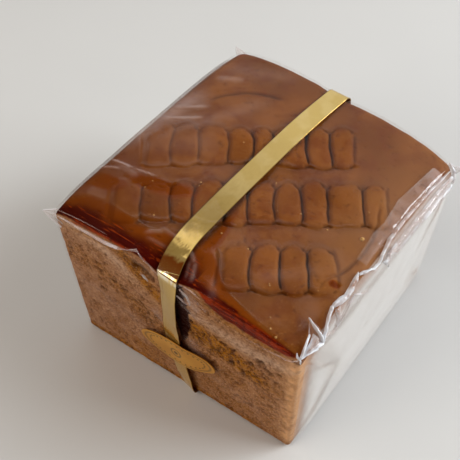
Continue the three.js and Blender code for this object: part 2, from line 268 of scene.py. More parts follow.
def block_point(u, v, w, grow=0.0, laid=False):
    """Places on the block, the ways out of it there, and how hollow the crust is: 1 in the middle of a
    crease, and -1 on top of a pad.

    u and v run from -1 to 1 over the width and depth and w from 0 to 1 over the height, on the faces
    of a plain box. Each place is drawn in to the box's core and pushed out again by the rounding
    radius, the top is crowned and pinched under the ribbon, the crust's relief is added, the back and
    the ends swell a little, and the corners' shifts come last. `grow` is a further way out, and `laid`
    gives film laid over the relief."""
    u, v, w = np.broadcast_arrays(np.asarray(u, float), v, w)
    top_round = lerp(CUT_ROUND, CRUST_ROUND, smoothstep(v, -1, -0.4))
    radius = lerp(CUT_ROUND, top_round, smoothstep(w, 0.3, 0.8))
    box = np.stack([u * HALF_X, v * HALF_Y, w * CORNER_HEIGHT], -1)
    low = np.stack([radius - HALF_X, radius - HALF_Y, radius], -1)
    high = np.stack([HALF_X - radius, HALF_Y - radius, CORNER_HEIGHT - radius], -1)
    core = np.clip(box, low, high)
    normal = unit(box - core)
    point = core + normal * radius[..., None]
    a, b, c = point[..., 0] / HALF_X, point[..., 1] / HALF_Y, point[..., 2] / CORNER_HEIGHT
    crown = EDGE_CROWN * (1 - (a * b) ** 4) + CENTRE_CROWN * (1 - a * a) * (1 - b * b)
    pinch = FRONT_PINCH * smoothstep(-b, 0.72, 1) + BACK_PINCH * smoothstep(b, 0.8, 1)
    pinch = bell(point[..., 0] + 2, PINCH_WIDTH) * pinch
    up_facing = np.clip(normal[..., 2], 0, 1) ** 2
    inset = 1 - smoothstep(np.maximum(np.abs(a), np.abs(b)), 0.86, 0.97)
    swell, groove, bridge = relief(point[..., 0], point[..., 1])
    height = PAD_RISE * bridge if laid else PAD_RISE * swell - GROOVE_DEPTH * groove
    height = height + 0.6 * noise(flat(a * HALF_X, b * HALF_Y), 15, 61)
    shown = up_facing * inset
    shift = corner_shift(a, b, c)
    point = point + normal * np.asarray(grow)[..., None]
    point[..., 2] += (crown - pinch) * c * c + height * shown
    point[..., 1] += BACK_SWELL * (1 - a**4) * smoothstep(c, 0, 0.8) * smoothstep(b, 0.6, 1)
    point[..., 0] += END_SWELL * (1 - b * b) * (c * (1 - c) * 4) * normal[..., 0]
    return point + shift, normal, (groove**1.2 - swell * (1 - groove)) * shown


def over_edge(edge, along, over, grow):
    """Places by a top edge and the ways out there. `along` runs along the edge, and `over` is above
    zero in from it on the top and below zero down the face, all in mm."""
    inwards = np.clip(over, 0, None)
    w = 1 + np.clip(over, None, 0) / CORNER_HEIGHT
    if edge == "front":
        return block_point(along / HALF_X, inwards / HALF_Y - 1, w, grow, True)[:2]
    return block_point(1 - inwards / HALF_X, along / HALF_Y, w, grow, True)[:2]


BASE_RUN = ((-59.3, 3.4), (-40, 2.2), (60.4, -1.1))  # y, and x of the ribbon's middle under the loaf
CHANNEL_HALF_WIDTH = 5.6


def clear_of_ribbon(points, height):
    """Lifts what lies lower than `height` over the ribbon's run under the loaf."""
    inside = CHANNEL_HALF_WIDTH - np.abs(points[..., 0] - through(points[..., 1], BASE_RUN))
    inside = smoothstep(inside, 0, 0.8)
    points[..., 2] = np.maximum(points[..., 2], height * inside)
    return points


# ---------------------------------------------------------------- meshes


def add_object(name, data):
    """A new object in the scene, at the origin."""
    made = bpy.data.objects.new(name, data)
    bpy.context.scene.collection.objects.link(made)
    return made


def mesh_piece(name, points, faces, look, marks=None):
    """An object at the origin with these points, in mm, and faces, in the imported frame.

    `marks` holds one number for each point under a name, which the material can read."""
    mesh = bpy.data.meshes.new(name)
    places = (points.reshape(-1, 3) + SHIFT) * 0.001
    mesh.from_pydata(places.tolist(), [], faces)
    for mark, numbers in (marks or {}).items():
        layer = mesh.attributes.new(mark, "FLOAT", "POINT")
        layer.data.foreach_set("value", np.ascontiguousarray(numbers, np.float32).ravel())
    mesh.polygons.foreach_set("use_smooth", [True] * len(mesh.polygons))
    mesh.materials.append(look)
    mesh.update()
    piece = add_object(name, mesh)
    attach(piece, "root")
    return piece


def grid_faces(rows, columns, first=0, wrap_rows=False, wrap_columns=False, flip=False):
    """The quads of a grid of points counted row by row from `first`, as a list. `flip` turns them over."""
    i = np.arange(rows if wrap_rows else rows - 1)[:, None]
    j = np.arange(columns if wrap_columns else columns - 1)[None, :]
    next_i = (i + 1) % rows
    next_j = (j + 1) % columns
    quads = [i * columns + j, i * columns + next_j, next_i * columns + next_j, next_i * columns + j]
    quads = np.stack([np.broadcast_to(corner, (i.size, j.size)) for corner in quads], -1).reshape(-1, 4)
    return (quads[:, ::-1 if flip else 1] + first).tolist()


def fan(ring, middle):
    """Triangles from each side of a ring of points to one middle point."""
    return np.stack([np.roll(ring, -1), ring, np.full(len(ring), middle)], -1).tolist()


def ring_border(count):
    """u and v round the border of the square, anticlockwise from above, `count` steps on each side."""
    s = np.linspace(-1, 1, count, endpoint=False)
    ones = np.ones(count)
    return np.concatenate([s, ones, -s, -ones]), np.concatenate([-ones, s, ones, -s])


# ---------------------------------------------------------------- shader words


class Value:
    """One output of a shader node. Arithmetic on it adds Math nodes."""

    def __init__(self, look, socket):
        self.look = look
        self.socket = socket

    def math(self, operation, *others):
        return self.look.node("ShaderNodeMath", {"operation": operation}, dict(enumerate((self, *others))))

    def __add__(self, other):
        return self.math("ADD", other)

    __radd__ = __add__

    def __sub__(self, other):
        return self.math("SUBTRACT", other)

    def __rsub__(self, other):
        return self.look.node("ShaderNodeMath", {"operation": "SUBTRACT"}, {0: other, 1: self})

    def __mul__(self, other):
        return self.math("MULTIPLY", other)

    __rmul__ = __mul__

    def __truediv__(self, other):
        return self.math("DIVIDE", other)

    def __pow__(self, other):
        return self.math("POWER", other)

    def ramp(self, low, high):
        """0 below low, 1 above high, and an eased ramp between."""
        settings = {"interpolation_type": "SMOOTHSTEP"}
        inputs = {"Value": self, "From Min": low, "From Max": high}
        return self.look.node("ShaderNodeMapRange", settings, inputs)


class Look:
    """A material under construction: a node tree and the few words that fill it."""

    def __init__(self, name, tree=None):
        self.material = None
        if tree is None:
            self.material = bpy.data.materials.new(name)
            self.material.use_nodes = True
            tree = self.material.node_tree
        self.tree = tree
        self.tree.nodes.clear()

    def node(self, kind, settings=None, inputs=None, output=0):
        """A node with its settings made first and then its sockets set or linked. Gives one output."""
        made = self.tree.nodes.new(kind)
        for name, value in (settings or {}).items():
            setattr(made, name, value)
        for name, value in (inputs or {}).items():
            if isinstance(value, Value):
                self.tree.links.new(value.socket, made.inputs[name])
            else:
                made.inputs[name].default_value = value
        return Value(self, made.outputs[output])

    def place(self):
        """Object coordinates, in metres."""
        return self.node("ShaderNodeTexCoord", output="Object")

    def mark(self, name):
        """The number that the mesh holds for each point under this name."""
        return self.node("ShaderNodeAttribute", {"attribute_name": name}, output="Fac")

    def marks(self, *names):
        """Several marks."""
        return [self.mark(name) for name in names]

    def noise(self, cell, detail=2.0, stretch=(1, 1, 1), seed=0.0):
        """Noise about 0.5 with features `cell` mm long. `stretch` below 1 makes them longer along an
        axis, and above 1 shorter."""
        scaled = self.node("ShaderNodeMapping", None, {
            "Vector": self.place(), "Scale": stretch, "Location": (seed, 0.37 * seed, 0.71 * seed),
        })
        inputs = {"Vector": scaled, "Scale": 1000 / cell, "Detail": detail}
        return self.node("ShaderNodeTexNoise", None, inputs)

    def mix(self, share, one, other):
        """One colour turning into the other as share goes from 0 to 1."""
        return self.node("ShaderNodeMix", {"data_type": "RGBA"}, {0: share, 6: one, 7: other}, output=2)

    def coats(self, colour, *coats):
        """The colour with coats over it in turn, each given as its share and its colour."""
        for share, coat in coats:
            colour = self.mix(share, colour, coat)
        return colour

    def bump(self, height, distance, strength):
        """A normal that follows a height of `distance` mm."""
        inputs = {"Height": height, "Distance": distance * 0.001, "Strength": strength}
        return self.node("ShaderNodeBump", None, inputs)

    def principled(self, colour, roughness, **others):
        """The standard shader. `others` are further sockets by name."""
        inputs = {"Base Color": colour, "Roughness": roughness, **others}
        return self.node("ShaderNodeBsdfPrincipled", None, inputs)

    def finish(self, surface, output="ShaderNodeOutputMaterial"):
        """Puts the shader on the output and gives the material."""
        end = self.tree.nodes.new(output)
        self.tree.links.new(surface.socket, end.inputs["Surface"])
        return self.material


def paint(red, green, blue):
    """A colour given as it looks on a screen, from 0 to 255, as the shaders count it."""
    shown = np.array((red, green, blue)) / 255
    linear = np.where(shown <= 0.04045, shown / 12.92, ((shown + 0.055) / 1.055) ** 2.4)
    return (*linear.tolist(), 1.0)


# ---------------------------------------------------------------- materials


def baked_look():
    """Brown crust on the top and sides and open beige crumb on the cut front, in one material.

    The mark `crust` parts the two. `deep` says how deep a pore or crease is, and the colour paints
    shade there: darker in creases, pits, pores, the gap by the ribbon, along the ribbon's edge and at
    the left front of the top. Below zero, on the raised pads, it paints a highlight, a lighter orange.
    `ochre` and `pale` say where those layers of the dough run. `edge` is wet deep red on the crust,
    partly painted shade and dark reflection where the film slopes to the front edge, with painted
    glint lines in it, and on the crumb a lighter tan by its right edge, painted light where the corner
    turns to the window. `foot` is the dark red skin that reaches down the front, streaked with the same
    painted glint lines, and `dry` is paler crust."""
    look = Look("baked gingerbread")
    crust, deep, ochre, pale = look.marks("crust", "deep", "ochre", "pale")
    edge, foot, dry = look.marks("edge", "foot", "dry")
    broad = look.noise(26, 2)
    cloudy = look.noise(7, 3, seed=3.0)
    grain = look.noise(1.3, 3, seed=7.0)
    specks = look.noise(2.2, 4, stretch=(1, 1, 1.1), seed=9.0)
    dust = look.noise(0.7, 1, seed=11.0)
    # painted glints: thin lighter lines running along x, used in the wet band and in the foot's red
    lines = look.noise(0.8, 2, stretch=(0.06, 1, 1), seed=13.0)
    red = look.mix(lines.ramp(0.4, 0.62), paint(92, 16, 0), paint(146, 46, 2))
    skin = look.coats(
        look.mix(broad.ramp(0.35, 0.65), paint(104, 57, 17), paint(125, 73, 28)),
        (cloudy.ramp(0.42, 0.66) * 0.75, paint(100, 48, 12)),
        (grain.ramp(0.5, 0.75) * 0.35, paint(92, 46, 14)),
        (dust.ramp(0.64, 0.74) * 0.5, paint(160, 106, 58)),
        # painted highlight: the raised pads a lighter orange
        ((deep * -1).ramp(0.3, 1) * 0.1, paint(148, 86, 30)),
        (dry * 0.4, paint(158, 108, 60)),
        # wet deep red, partly painted shade and dark reflection where the film slopes to the front edge
        (edge.ramp(0, 0.5), paint(112, 52, 4)),
        (edge.ramp(0.4, 1), paint(60, 4, 0)),
        # painted glint lines in the wet band
        (edge.ramp(0.55, 0.8) * lines.ramp(0.57, 0.7) * 0.5, paint(170, 64, 6)),
        (foot, look.mix(specks.ramp(0.5, 0.6) * 0.6, red, paint(60, 18, 3))),
        # painted shade: darker in creases, pits, along the ribbon's edge and at the top's left front
        (deep * 0.85, paint(48, 22, 10)),
    )
    crumb = look.coats(
        look.mix(cloudy.ramp(0.35, 0.65), paint(170, 126, 92), paint(148, 102, 64)),
        (pale, paint(196, 162, 134)),
        (ochre, paint(164, 104, 4)),
        (specks.ramp(0.48, 0.62) * (ochre * 0.5 + 0.34), paint(84, 44, 16)),
        (grain.ramp(0.48, 0.62) * (ochre * 0.35 + 0.35), paint(110, 62, 30)),
        (dust.ramp(0.55, 0.68) * (0.4 - ochre * 0.2), paint(224, 180, 134)),
        # painted light: the lighter tan by the crumb's right edge
        (edge * 0.7, paint(234, 180, 124)),
        # painted shade: darker in the pores and in the gap by the ribbon
        (deep * 0.94, paint(42, 12, 4)),
    )
    colour = look.mix(crust, crumb, skin)
    height = grain * (0.5 - crust * 0.43) + dust * (0.3 - crust * 0.25) - specks * (1 - crust) * 3
    normal = look.bump(height, 0.18, 0.4)
    return look.finish(look.principled(colour, 0.62 - edge * 0.2, IOR=1.14, Normal=normal))


FILM_SQUARE_ON = 0.02  # the mirror share of one side of the film, seen square on
FILM_RISE = 7.5  # how late the share rises towards a grazing angle
FILM_TINT = (0.99, 0.985, 0.98, 1.0)
PINKISH = paint(216, 184, 172)
CREAMY = paint(242, 234, 224)


def film_look(name, layers, rough, rise=FILM_RISE, thin=PINKISH, veil=1.0):
    """Clear glossy film of so many layers. A mirror share rises from a little, seen square on, to all
    at a grazing angle, and the rest is see-through. A mark says how white it is painted there, a
    painted sheen where the film is crinkled, creased or folded, and `clinging` how closely it sticks
    to what lies under it, where it mirrors less. `thin` is its colour where it is only a little white,
    and `veil` how much of the white stays, seen square on."""
    look = Look(name)
    gathered_sheen = look.mark("gathered_sheen")
    facing = look.node("ShaderNodeLayerWeight", None, {"Blend": 0.5}, output="Facing")
    one_side = facing**rise * (1 - FILM_SQUARE_ON) + FILM_SQUARE_ON
    sides = 2 * layers
    share = one_side * sides / (one_side * (sides - 1) + 1)
    share = share * (1 - look.mark("clinging") * 0.95)
    clear = look.node("ShaderNodeBsdfTransparent", None, {"Color": FILM_TINT})
    gloss = look.node("ShaderNodeBsdfAnisotropic", None, {"Color": (1, 1, 1, 1), "Roughness": rough})
    surface = look.node("ShaderNodeMixShader", None, {0: share, 1: clear, 2: gloss})
    # painted sheen: a white surface mixed in where the film is crinkled, creased or folded
    colour = look.mix(gathered_sheen.ramp(0.1, 0.65), thin, paint(228, 233, 240))
    normal = look.bump(look.noise(1.6, 2, stretch=(1, 0.35, 1), seed=12.0), 0.2, 0.5)
    white = look.principled(colour, 0.22, IOR=1.5, Normal=normal)
    shown = gathered_sheen * (facing * (1.55 - 1.55 * veil) + veil)
    surface = look.node("ShaderNodeMixShader", None, {0: shown, 1: surface, 2: white})
    return look.finish(surface)


def gold_look():
    """Satin gold ribbon: fine streaks run along it, so that highlights end in ragged teeth.

    The mark `bend` makes it more uneven by the front bend, `low` browner and less of a mirror down the
    front, the brown a painted reflection of the shaded floor, `rim` dark at its two edges, a painted
    shade that dulls their highlight, and `crease` bright along the crease of the bend, a painted
    highlight."""
    look = Look("satin gold ribbon")
    bend, low, rim, crease_highlight = look.marks("bend", "low", "rim", "crease")
    streaks = look.noise(0.8, 2, stretch=(1, 0.16, 0.16), seed=2.0)
    waves = look.noise(9, 2, seed=5.0)
    colour = look.coats(
        look.mix(waves.ramp(0.4, 0.62), paint(236, 202, 124), paint(243, 211, 138)),
        # painted reflection: browner down the front, where it mirrors the shaded floor
        (low, paint(200, 152, 26)),
        # painted shade at the two edges, dulling their highlight
        (rim, paint(150, 108, 44)),
        # painted highlight along the crease of the bend
        (crease_highlight * streaks.ramp(0.3, 0.6), paint(253, 246, 226)),
    )
    normal = look.bump(streaks * (bend * 0.6 + 0.5) + waves * (bend * 1.6 + 0.3), 0.12, 0.8)
    surface = look.principled(colour, streaks * 0.05 + 0.07, Metallic=1 - low * 0.45, Normal=normal)
    return look.finish(surface)


def crumb_look():
    """A loose crumb: pale brown, with darker grains."""
    look = Look("loose crumb")
    grain = look.noise(0.5, 2, seed=6.0)
    colour = paint(196, 150, 84)
    shade = look.mix(grain.ramp(0.35, 0.65), colour, (*(0.55 * c for c in colour[:3]), 1.0))
    return look.finish(look.principled(shade, 0.7))


def foil_look():
    """Satin ochre paper foil with dark print for the rim line, the ring and the dots."""
    look = Look("ochre foil")
    ink = look.mark("ink")
    fibres = look.noise(1.1, 3, stretch=(1, 1, 2), seed=4.0)
    clouds = look.noise(14, 1, seed=8.0)
    colour = look.mix(clouds.ramp(0.4, 0.6), paint(204, 144, 46), paint(216, 158, 58))
    colour = look.mix(ink * 0.9, colour, paint(88, 56, 20))
    normal = look.bump(fibres, 0.05, 0.4)
    return look.finish(look.principled(colour, fibres * 0.12 + 0.34, Metallic=0.55, Normal=normal))


def floor_look():
    """A plain pale floor."""
    look = Look("pale floor")
    clouds = look.noise(60, 2)
    colour = look.mix(clouds, paint(201, 203, 202), paint(205, 207, 206))
    return look.finish(look.principled(colour, 0.7))


# ---------------------------------------------------------------- the loaf

CRUST_CELLS = 280  # on each side of the top's grid
CRUMB_TOP = 0.94  # heights as shares, where 1 is the top
CRUMB_HIDDEN = 0.955  # the crumb's last ring, inside the crust
CRUST_SKIRT = np.linspace(0.992, CRUMB_TOP, 14)
CLOSING = 0.97  # how far out, from the middle to the rim, the rings that close a piece lie
CRUST_UNDERSIDE = 76.0  # height of the middle of each closing face
CRUMB_UPPER_SIDE = 74.0
LOAF_INSET = -0.4  # how far out of the solid the loaf reaches
LOAF_CLEAR = 1.0  # height of the loaf's underside over the ribbon

FRONT_TOP = 84.0  # where depths down the front are counted from
LAYER_LEAN = 0.45  # how steeply the dough's layers sink to the right
WARM_RIGHT = 0.26  # the least share of ochre on the right half
OCHRE_WIDTH = 7.4
BROWN_WIDTH = 6.5
PALE_WIDTH = 4.4
OCHRE_LAYER = (  # x, and the depth of the layer's middle
    (-30, -6), (-22, 6), (-12, 16), (-3, 24), (6, 28), (12.8, 29), (24, 31.5), (31.6, 35), (39, 37),
    (55, 40),
)
BROWN_LAYER = ((-60, 25), (-45, 25), (-34, 28), (-26, 33), (-18, 40), (-5, 44), (55, 66))
PALE_LAYER = (
    (-60, 3), (-43, 5), (-35, 6.5), (-26, 11), (-19, 16), (-9, 23), (-2, 20), (5, 18), (26, 20), (36, 19),
    (55, 14),
)


def front_layers(x, z):
    """How ochre, how open and how pale the cut face is there: bell-shaped layers along the guides,
    which noise makes wander. The ochre one is fullest right of the middle and the open one weak there.
    The first and second numbers overlap: an open layer is also a bit ochre."""
    depth = FRONT_TOP - z
    wander = 2.2 * noise(flat(x, z), (14, 7, 1), 5)
    ochre = bell(depth - through(x, OCHRE_LAYER) + 0.7 * wander, OCHRE_WIDTH)
    ochre = np.clip(ochre * (1 + 0.6 * smoothstep(x, 2, 8) * smoothstep(-x, -40, -24)), 0, 1)
    brown = bell(depth - through(x, BROWN_LAYER) + wander, BROWN_WIDTH)
    pale = bell(depth - through(x, PALE_LAYER) - 0.7 * wander, PALE_WIDTH)
    brown = brown * (1 - 0.85 * smoothstep(x, -8, 4))
    ochre = ochre * (1 - 0.6 * smoothstep(x, 38, 46))
    return np.maximum(ochre, 0.4 * brown), brown, pale * (1 - 0.1 * smoothstep(x, 0, 14))


FRONT_HOLES = (  # x, z, half its length and height, depth, in mm
    (39, 61, 2.4, 1.9, 2.2),
    (35, 55, 1.8, 1.3, 1.6),
    (43, 57, 2.6, 1.6, 2.2),
    (47, 60, 1.6, 1.1, 1.5),
    (-31, 55, 1.6, 1.2, 1.5),
    (-38, 44, 2.0, 1.2, 1.4),
    (-14.2, 78.4, 6.0, 3.3, 3.0),
    (-18, 51, 1.8, 1.1, 1.3),
    (18, 49, 2.2, 1.3, 1.6),
    (26, 47, 1.7, 1.1, 1.4),
)


def cut_face(x, z):
    """How deep the crumb's pores are in mm, how dark they are painted as shade from 0 to 1, and its layers.

    Noise of three sizes, on a face that is leaned so that it follows the layers, is cut off at a level
    that is lower where the dough is open: what stands above the level is a pore. Small oval holes and
    the few large ones, with ragged rims, are added. Pores are shallow by the crust and at the right
    edge, and their painted shade is lighter at the left. The gap by the ribbon only looks deep: it is
    painted shadow."""
    ochre, brown, pale = front_layers(x, z)
    right_holes = bell(x - 42, 8, z - 62, 6)
    open_ = np.clip(0.9 * ochre + 0.8 * brown + right_holes, 0, 1) * (1 - 0.6 * pale)
    leaned = flat(x, 1.15 * (z + LAYER_LEAN * x))
    sponge = 0.35 * noise(leaned, 2.6, 1) + 0.4 * noise(leaned, 1.3, 2) + 0.45 * noise(leaned, 0.75, 3)
    level = 0.36 - 0.25 * open_ + 0.06 * pale + 0.09 * noise(leaned, 16, 4)
    pores = smoothstep(sponge, level, level + 0.25)
    oval = cavities(x, z + LAYER_LEAN * x, 1.9, 0.05 + 0.4 * open_, 2, 1.25)
    below_crust = smoothstep(FRONT_TOP - z, 1.5, 6)
    pores = np.maximum(pores, 0.9 * oval) * (0.3 + 0.7 * below_crust) * (1 - 0.9 * smoothstep(x, 49, 53))
    depth = 0.75 * pores + 0.2 * open_ * noise(leaned, 0.8, 5)
    # painted shade: how dark each pore looks, less at the left
    look = pores * (0.4 + 0.5 * open_) * (1 - 0.35 * smoothstep(-x, 0, 20))
    ragged = 0.35 * noise(flat(x, z), 1.2, 9)
    for hole_x, hole_z, long, high, deep in FRONT_HOLES:
        inside = 1 - ((x - hole_x) / long) ** 2 - ((z + 0.35 * (x - hole_x) - hole_z) / high) ** 2
        inside = np.clip(inside + ragged, 0, 1) ** 0.6
        depth = np.maximum(depth, deep * inside)
        look = np.maximum(look, inside)
    # painted shadow in the gap by the ribbon: darker, and less ochre
    shade = ribbon_gap(x, FRONT_TOP - z)
    return depth, np.maximum(look, 1.09 * shade), ochre * (1 - 0.5 * shade), pale


GAP_LEFT = ((1, 3.4), (14, 1.6), (26, 0.6), (37, 2.2), (43, 3.5))  # depth, and the gap's edge
GAP_RIGHT = ((1, 4.8), (9, 5.6), (17, 7.2), (25, 7.0), (36, 5.0), (43, 3.4))


def ribbon_gap(x, depth):
    """Where the crumb is painted dark at the right of the ribbon, from 0 to 1: the painted shadow of
    the gap under the ribbon's raised edge.
    """
    place = flat(x, depth)
    ragged = 0.9 * noise(place, 2.4, 77) + 0.5 * noise(place, 1.1, 78)
    inside = np.minimum(x - through(depth, GAP_LEFT) + 1.5, through(depth, GAP_RIGHT) - x + ragged)
    return smoothstep(inside, -0.3, 0.7) * smoothstep(depth, 0, 2) * smoothstep(45 - depth, 0, 3)


WET_SHADED_EDGE = (  # x, and how far behind the front edge the crust is wet and painted shaded deep red under the film
    (-55, 5), (-48, 11.6), (-40, 12.6), (-30, 11), (-17, 11.2), (-3, 19.4), (3, 20.7), (10, 14),
    (18.4, 6.8), (28.6, 3.8), (41, 1.6), (54.6, 0.5),
)
WET_SHADED_SPOTS = (  # x, y, half length along x, half length along y, turn, strength
    (3.2, -33, 2.6, 13, 0.12, 0.5),
    (-29, -28, 16, 4.6, 0.25, 0.5),
    (48.6, -25.9, 2.4, 1.8, 0.4, 0.7),
    (-46, -38, 8, 5, 0.5, 0.45),
    (-52, 55, 5, 4, 0, 0.5),
)


def wet_shaded(x, y):
    """How wet and deep red the crust looks, the red partly painted shade and dark reflection where the
    film slopes down to the front edge: 1 at the front edge, about a half at the band's far side, less
    along the left edge, and each spot's own strength in the spots. The spot beside the ribbon is
    painted shade."""
    s = y + HALF_Y
    place = flat(x, y)
    right = smoothstep(x, 4, 12)
    width = through(x, WET_SHADED_EDGE) * (1 + (0.12 - 0.08 * right) * noise(place, 6, 71))
    inside = 1 - smoothstep(s, (0.86 + 0.08 * right) * width, 1.02 * width)
    narrow = np.where(x > 8, 0.45, 0.8) * width
    ragged = s + 1.2 * noise(place, 6, 72) + 0.5 * noise(place, 1.8, 74)
    deep = 1 - smoothstep(ragged, 0.1 * narrow, 1.1 * narrow)
    wet_shade = inside * (0.42 + 0.58 * deep)
    wet_shade = np.maximum(wet_shade, 0.24 * smoothstep(-x, 12, 50) * smoothstep(-y, -25, 30))
    for spot_x, spot_y, long, high, turn, strength in WET_SHADED_SPOTS:
        across = (x - spot_x) * math.cos(turn) + (y - spot_y) * math.sin(turn)
        along = (y - spot_y) * math.cos(turn) - (x - spot_x) * math.sin(turn)
        spot = bell(across, long, along, high)
        wet_shade = np.maximum(wet_shade, strength * smoothstep(spot + 0.15 * noise(place, 3, 73), 0.2, 0.7))
    return wet_shade


CRUST_FOOT = (  # x, and how far down the front the crust's dark skin comes
    (-54, 0), (-46, 1.2), (-21, 1.4), (-13, 0), (10, 0), (16, 5.2), (21.7, 8.6), (35.5, 8.6), (42.6, 6.6),
    (49.6, 4), (54.5, 0),
)


def crust_foot(x, z):
    """Where the front shows the crust's skin and not crumb, from 0 to 1, down to a ragged line."""
    depth = CORNER_HEIGHT + 0.6 + EDGE_CROWN * (1 - (x / HALF_X) ** 4) - z
    reach = through(x, CRUST_FOOT)
    place = flat(x, z)
    ragged = np.clip(reach / 4, 0, 1) * (0.7 * noise(place, (4, 2, 1), 81) + 0.4 * noise(place, 1.2, 82))
    return smoothstep(reach + ragged - depth, -0.6, 0.6) * smoothstep(reach, 0.2, 1.5)


def crust_marks(points, normal, hollow):
    """The marks of the crust piece. The front is crumb, save for the crust's foot."""
    x, y, z = np.moveaxis(points, -1, 0)
    foot = crust_foot(x, z) * smoothstep(-normal[..., 1], 0.3, 0.7)
    cut = smoothstep(-normal[..., 1], 0.55, 0.9) * (1 - foot)
    ochre, _, pale = front_layers(x, z)
    wet_shade = wet_shaded(x, y) * (1 - cut) * smoothstep(normal[..., 2], 0.2, 0.6)
    dry = smoothstep(x, 24, 46) * smoothstep(y, -40, -15) * (1 - 0.6 * smoothstep(y, 10, 50))
    return {
        "crust": 1 - cut,
        "deep": hollow * (1 - foot),
        "ochre": np.maximum(ochre, WARM_RIGHT * smoothstep(x, -25, 15) * (1 - pale)) * cut,
        "pale": pale * cut,
        "edge": np.maximum(wet_shade, 0.5 * foot),
        "foot": foot,
        "dry": dry * (1 - cut),
    }


RIBBON_EDGE = ((-53, 1.2), (-43, -0.9), (-22, -0.1), (32, 2.2), (60, 3.6))  # y, and x of its right edge


def ribbon_shade(x, y):
    """Painted shadow: the dark line on the crust along the ribbon's right edge, where the ribbon stands off
    it.
    """
    edge = through(y, RIBBON_EDGE)
    strength = 0.3 + 0.55 * smoothstep(-y, 2, 14) * smoothstep(y, -50, -44)
    width = np.where(x > edge, 0.7 + smoothstep(-y, 8, 26) * smoothstep(y, -50, -36), 1.5)
    return strength * bell(x - edge - 0.3, width)


def make_crust(look):
    """The crust: the fine top of the block with a short skirt, closed by a flat underside.

    The top is a square grid on the block. Low swells, grain and pits are added along the way out."""
    s = np.linspace(-1, 1, CRUST_CELLS + 1)
    top, normal, hollow = block_point(s[None, :], s[:, None], 1.0, LOAF_INSET)
    swell = 0.2 * noise(top, 13, 1) + 0.14 * noise(top, 4.2, 2) + 0.03 * noise(top, 1.6, 3)
    pits = np.clip(noise(top, 1.3, 4) - 0.5, 0, 1)
    top = top + normal * (swell - 0.6 * pits)[..., None]
    x, y, _ = np.moveaxis(top, -1, 0)
    # painted shade: the left front of the top dimmer; with the pits and the ribbon's painted shadow it goes
    # into the depth mark, which darkens the colour
    dim = 0.26 * smoothstep(-x, 10, 45) * smoothstep(-y, -20, 25)
    dark = np.maximum(np.maximum(0.9 * pits, dim), ribbon_shade(x, y))
    hollow = np.where(dark > 0.03, np.maximum(hollow, dark), hollow)
    u, v = ring_border(CRUST_CELLS)
    skirt = [block_point(u, v, w, LOAF_INSET) for w in CRUST_SKIRT]
    under, under_normal, _ = block_point(CLOSING * u, CLOSING * v, 0.93, -2.0)
    under[..., 2] = skirt[-1][0][..., 2]
    centre = np.array([[0.0, 0.0, CRUST_UNDERSIDE]])
    points = np.concatenate([top.reshape(-1, 3), *(ring[0] for ring in skirt), under, centre])
    count = CRUST_CELLS + 1
    index = np.arange(count * count).reshape(count, count)
    border = np.concatenate([index[0, :-1], index[:-1, -1], index[-1, :0:-1], index[:0:-1, 0]])
    faces = grid_faces(count, count)
    ring = 4 * CRUST_CELLS
    rings = [border] + [count * count + k * ring + np.arange(ring) for k in range(len(CRUST_SKIRT) + 1)]
    for upper, lower in zip(rings, rings[1:]):
        quads = np.stack([upper, lower, np.roll(lower, -1), np.roll(upper, -1)], -1)
        faces += quads.tolist()
    faces += fan(rings[-1], len(points) - 1)
    normals = np.concatenate([normal.reshape(-1, 3), *(r[1] for r in skirt), under_normal, [[0, 0, -1]]])
    # the front skirt takes the crumb's painted shade in its pores and in the gap by the ribbon
    _, crumb_hollow, _, _ = cut_face(points[:, 0], points[:, 2])
    below = (np.arange(len(points)) >= count * count) & (normals[:, 1] < -0.8)
    hollows = np.where(below, crumb_hollow, 0)
    hollows[:count * count] = hollow.ravel()
    marks = crust_marks(points, normals, hollows)
    return mesh_piece("baked_crust", points, faces, look, marks)


FRONT_COLUMNS = 260
SIDE_COLUMNS = 66
CRUMB_LEVELS = 166


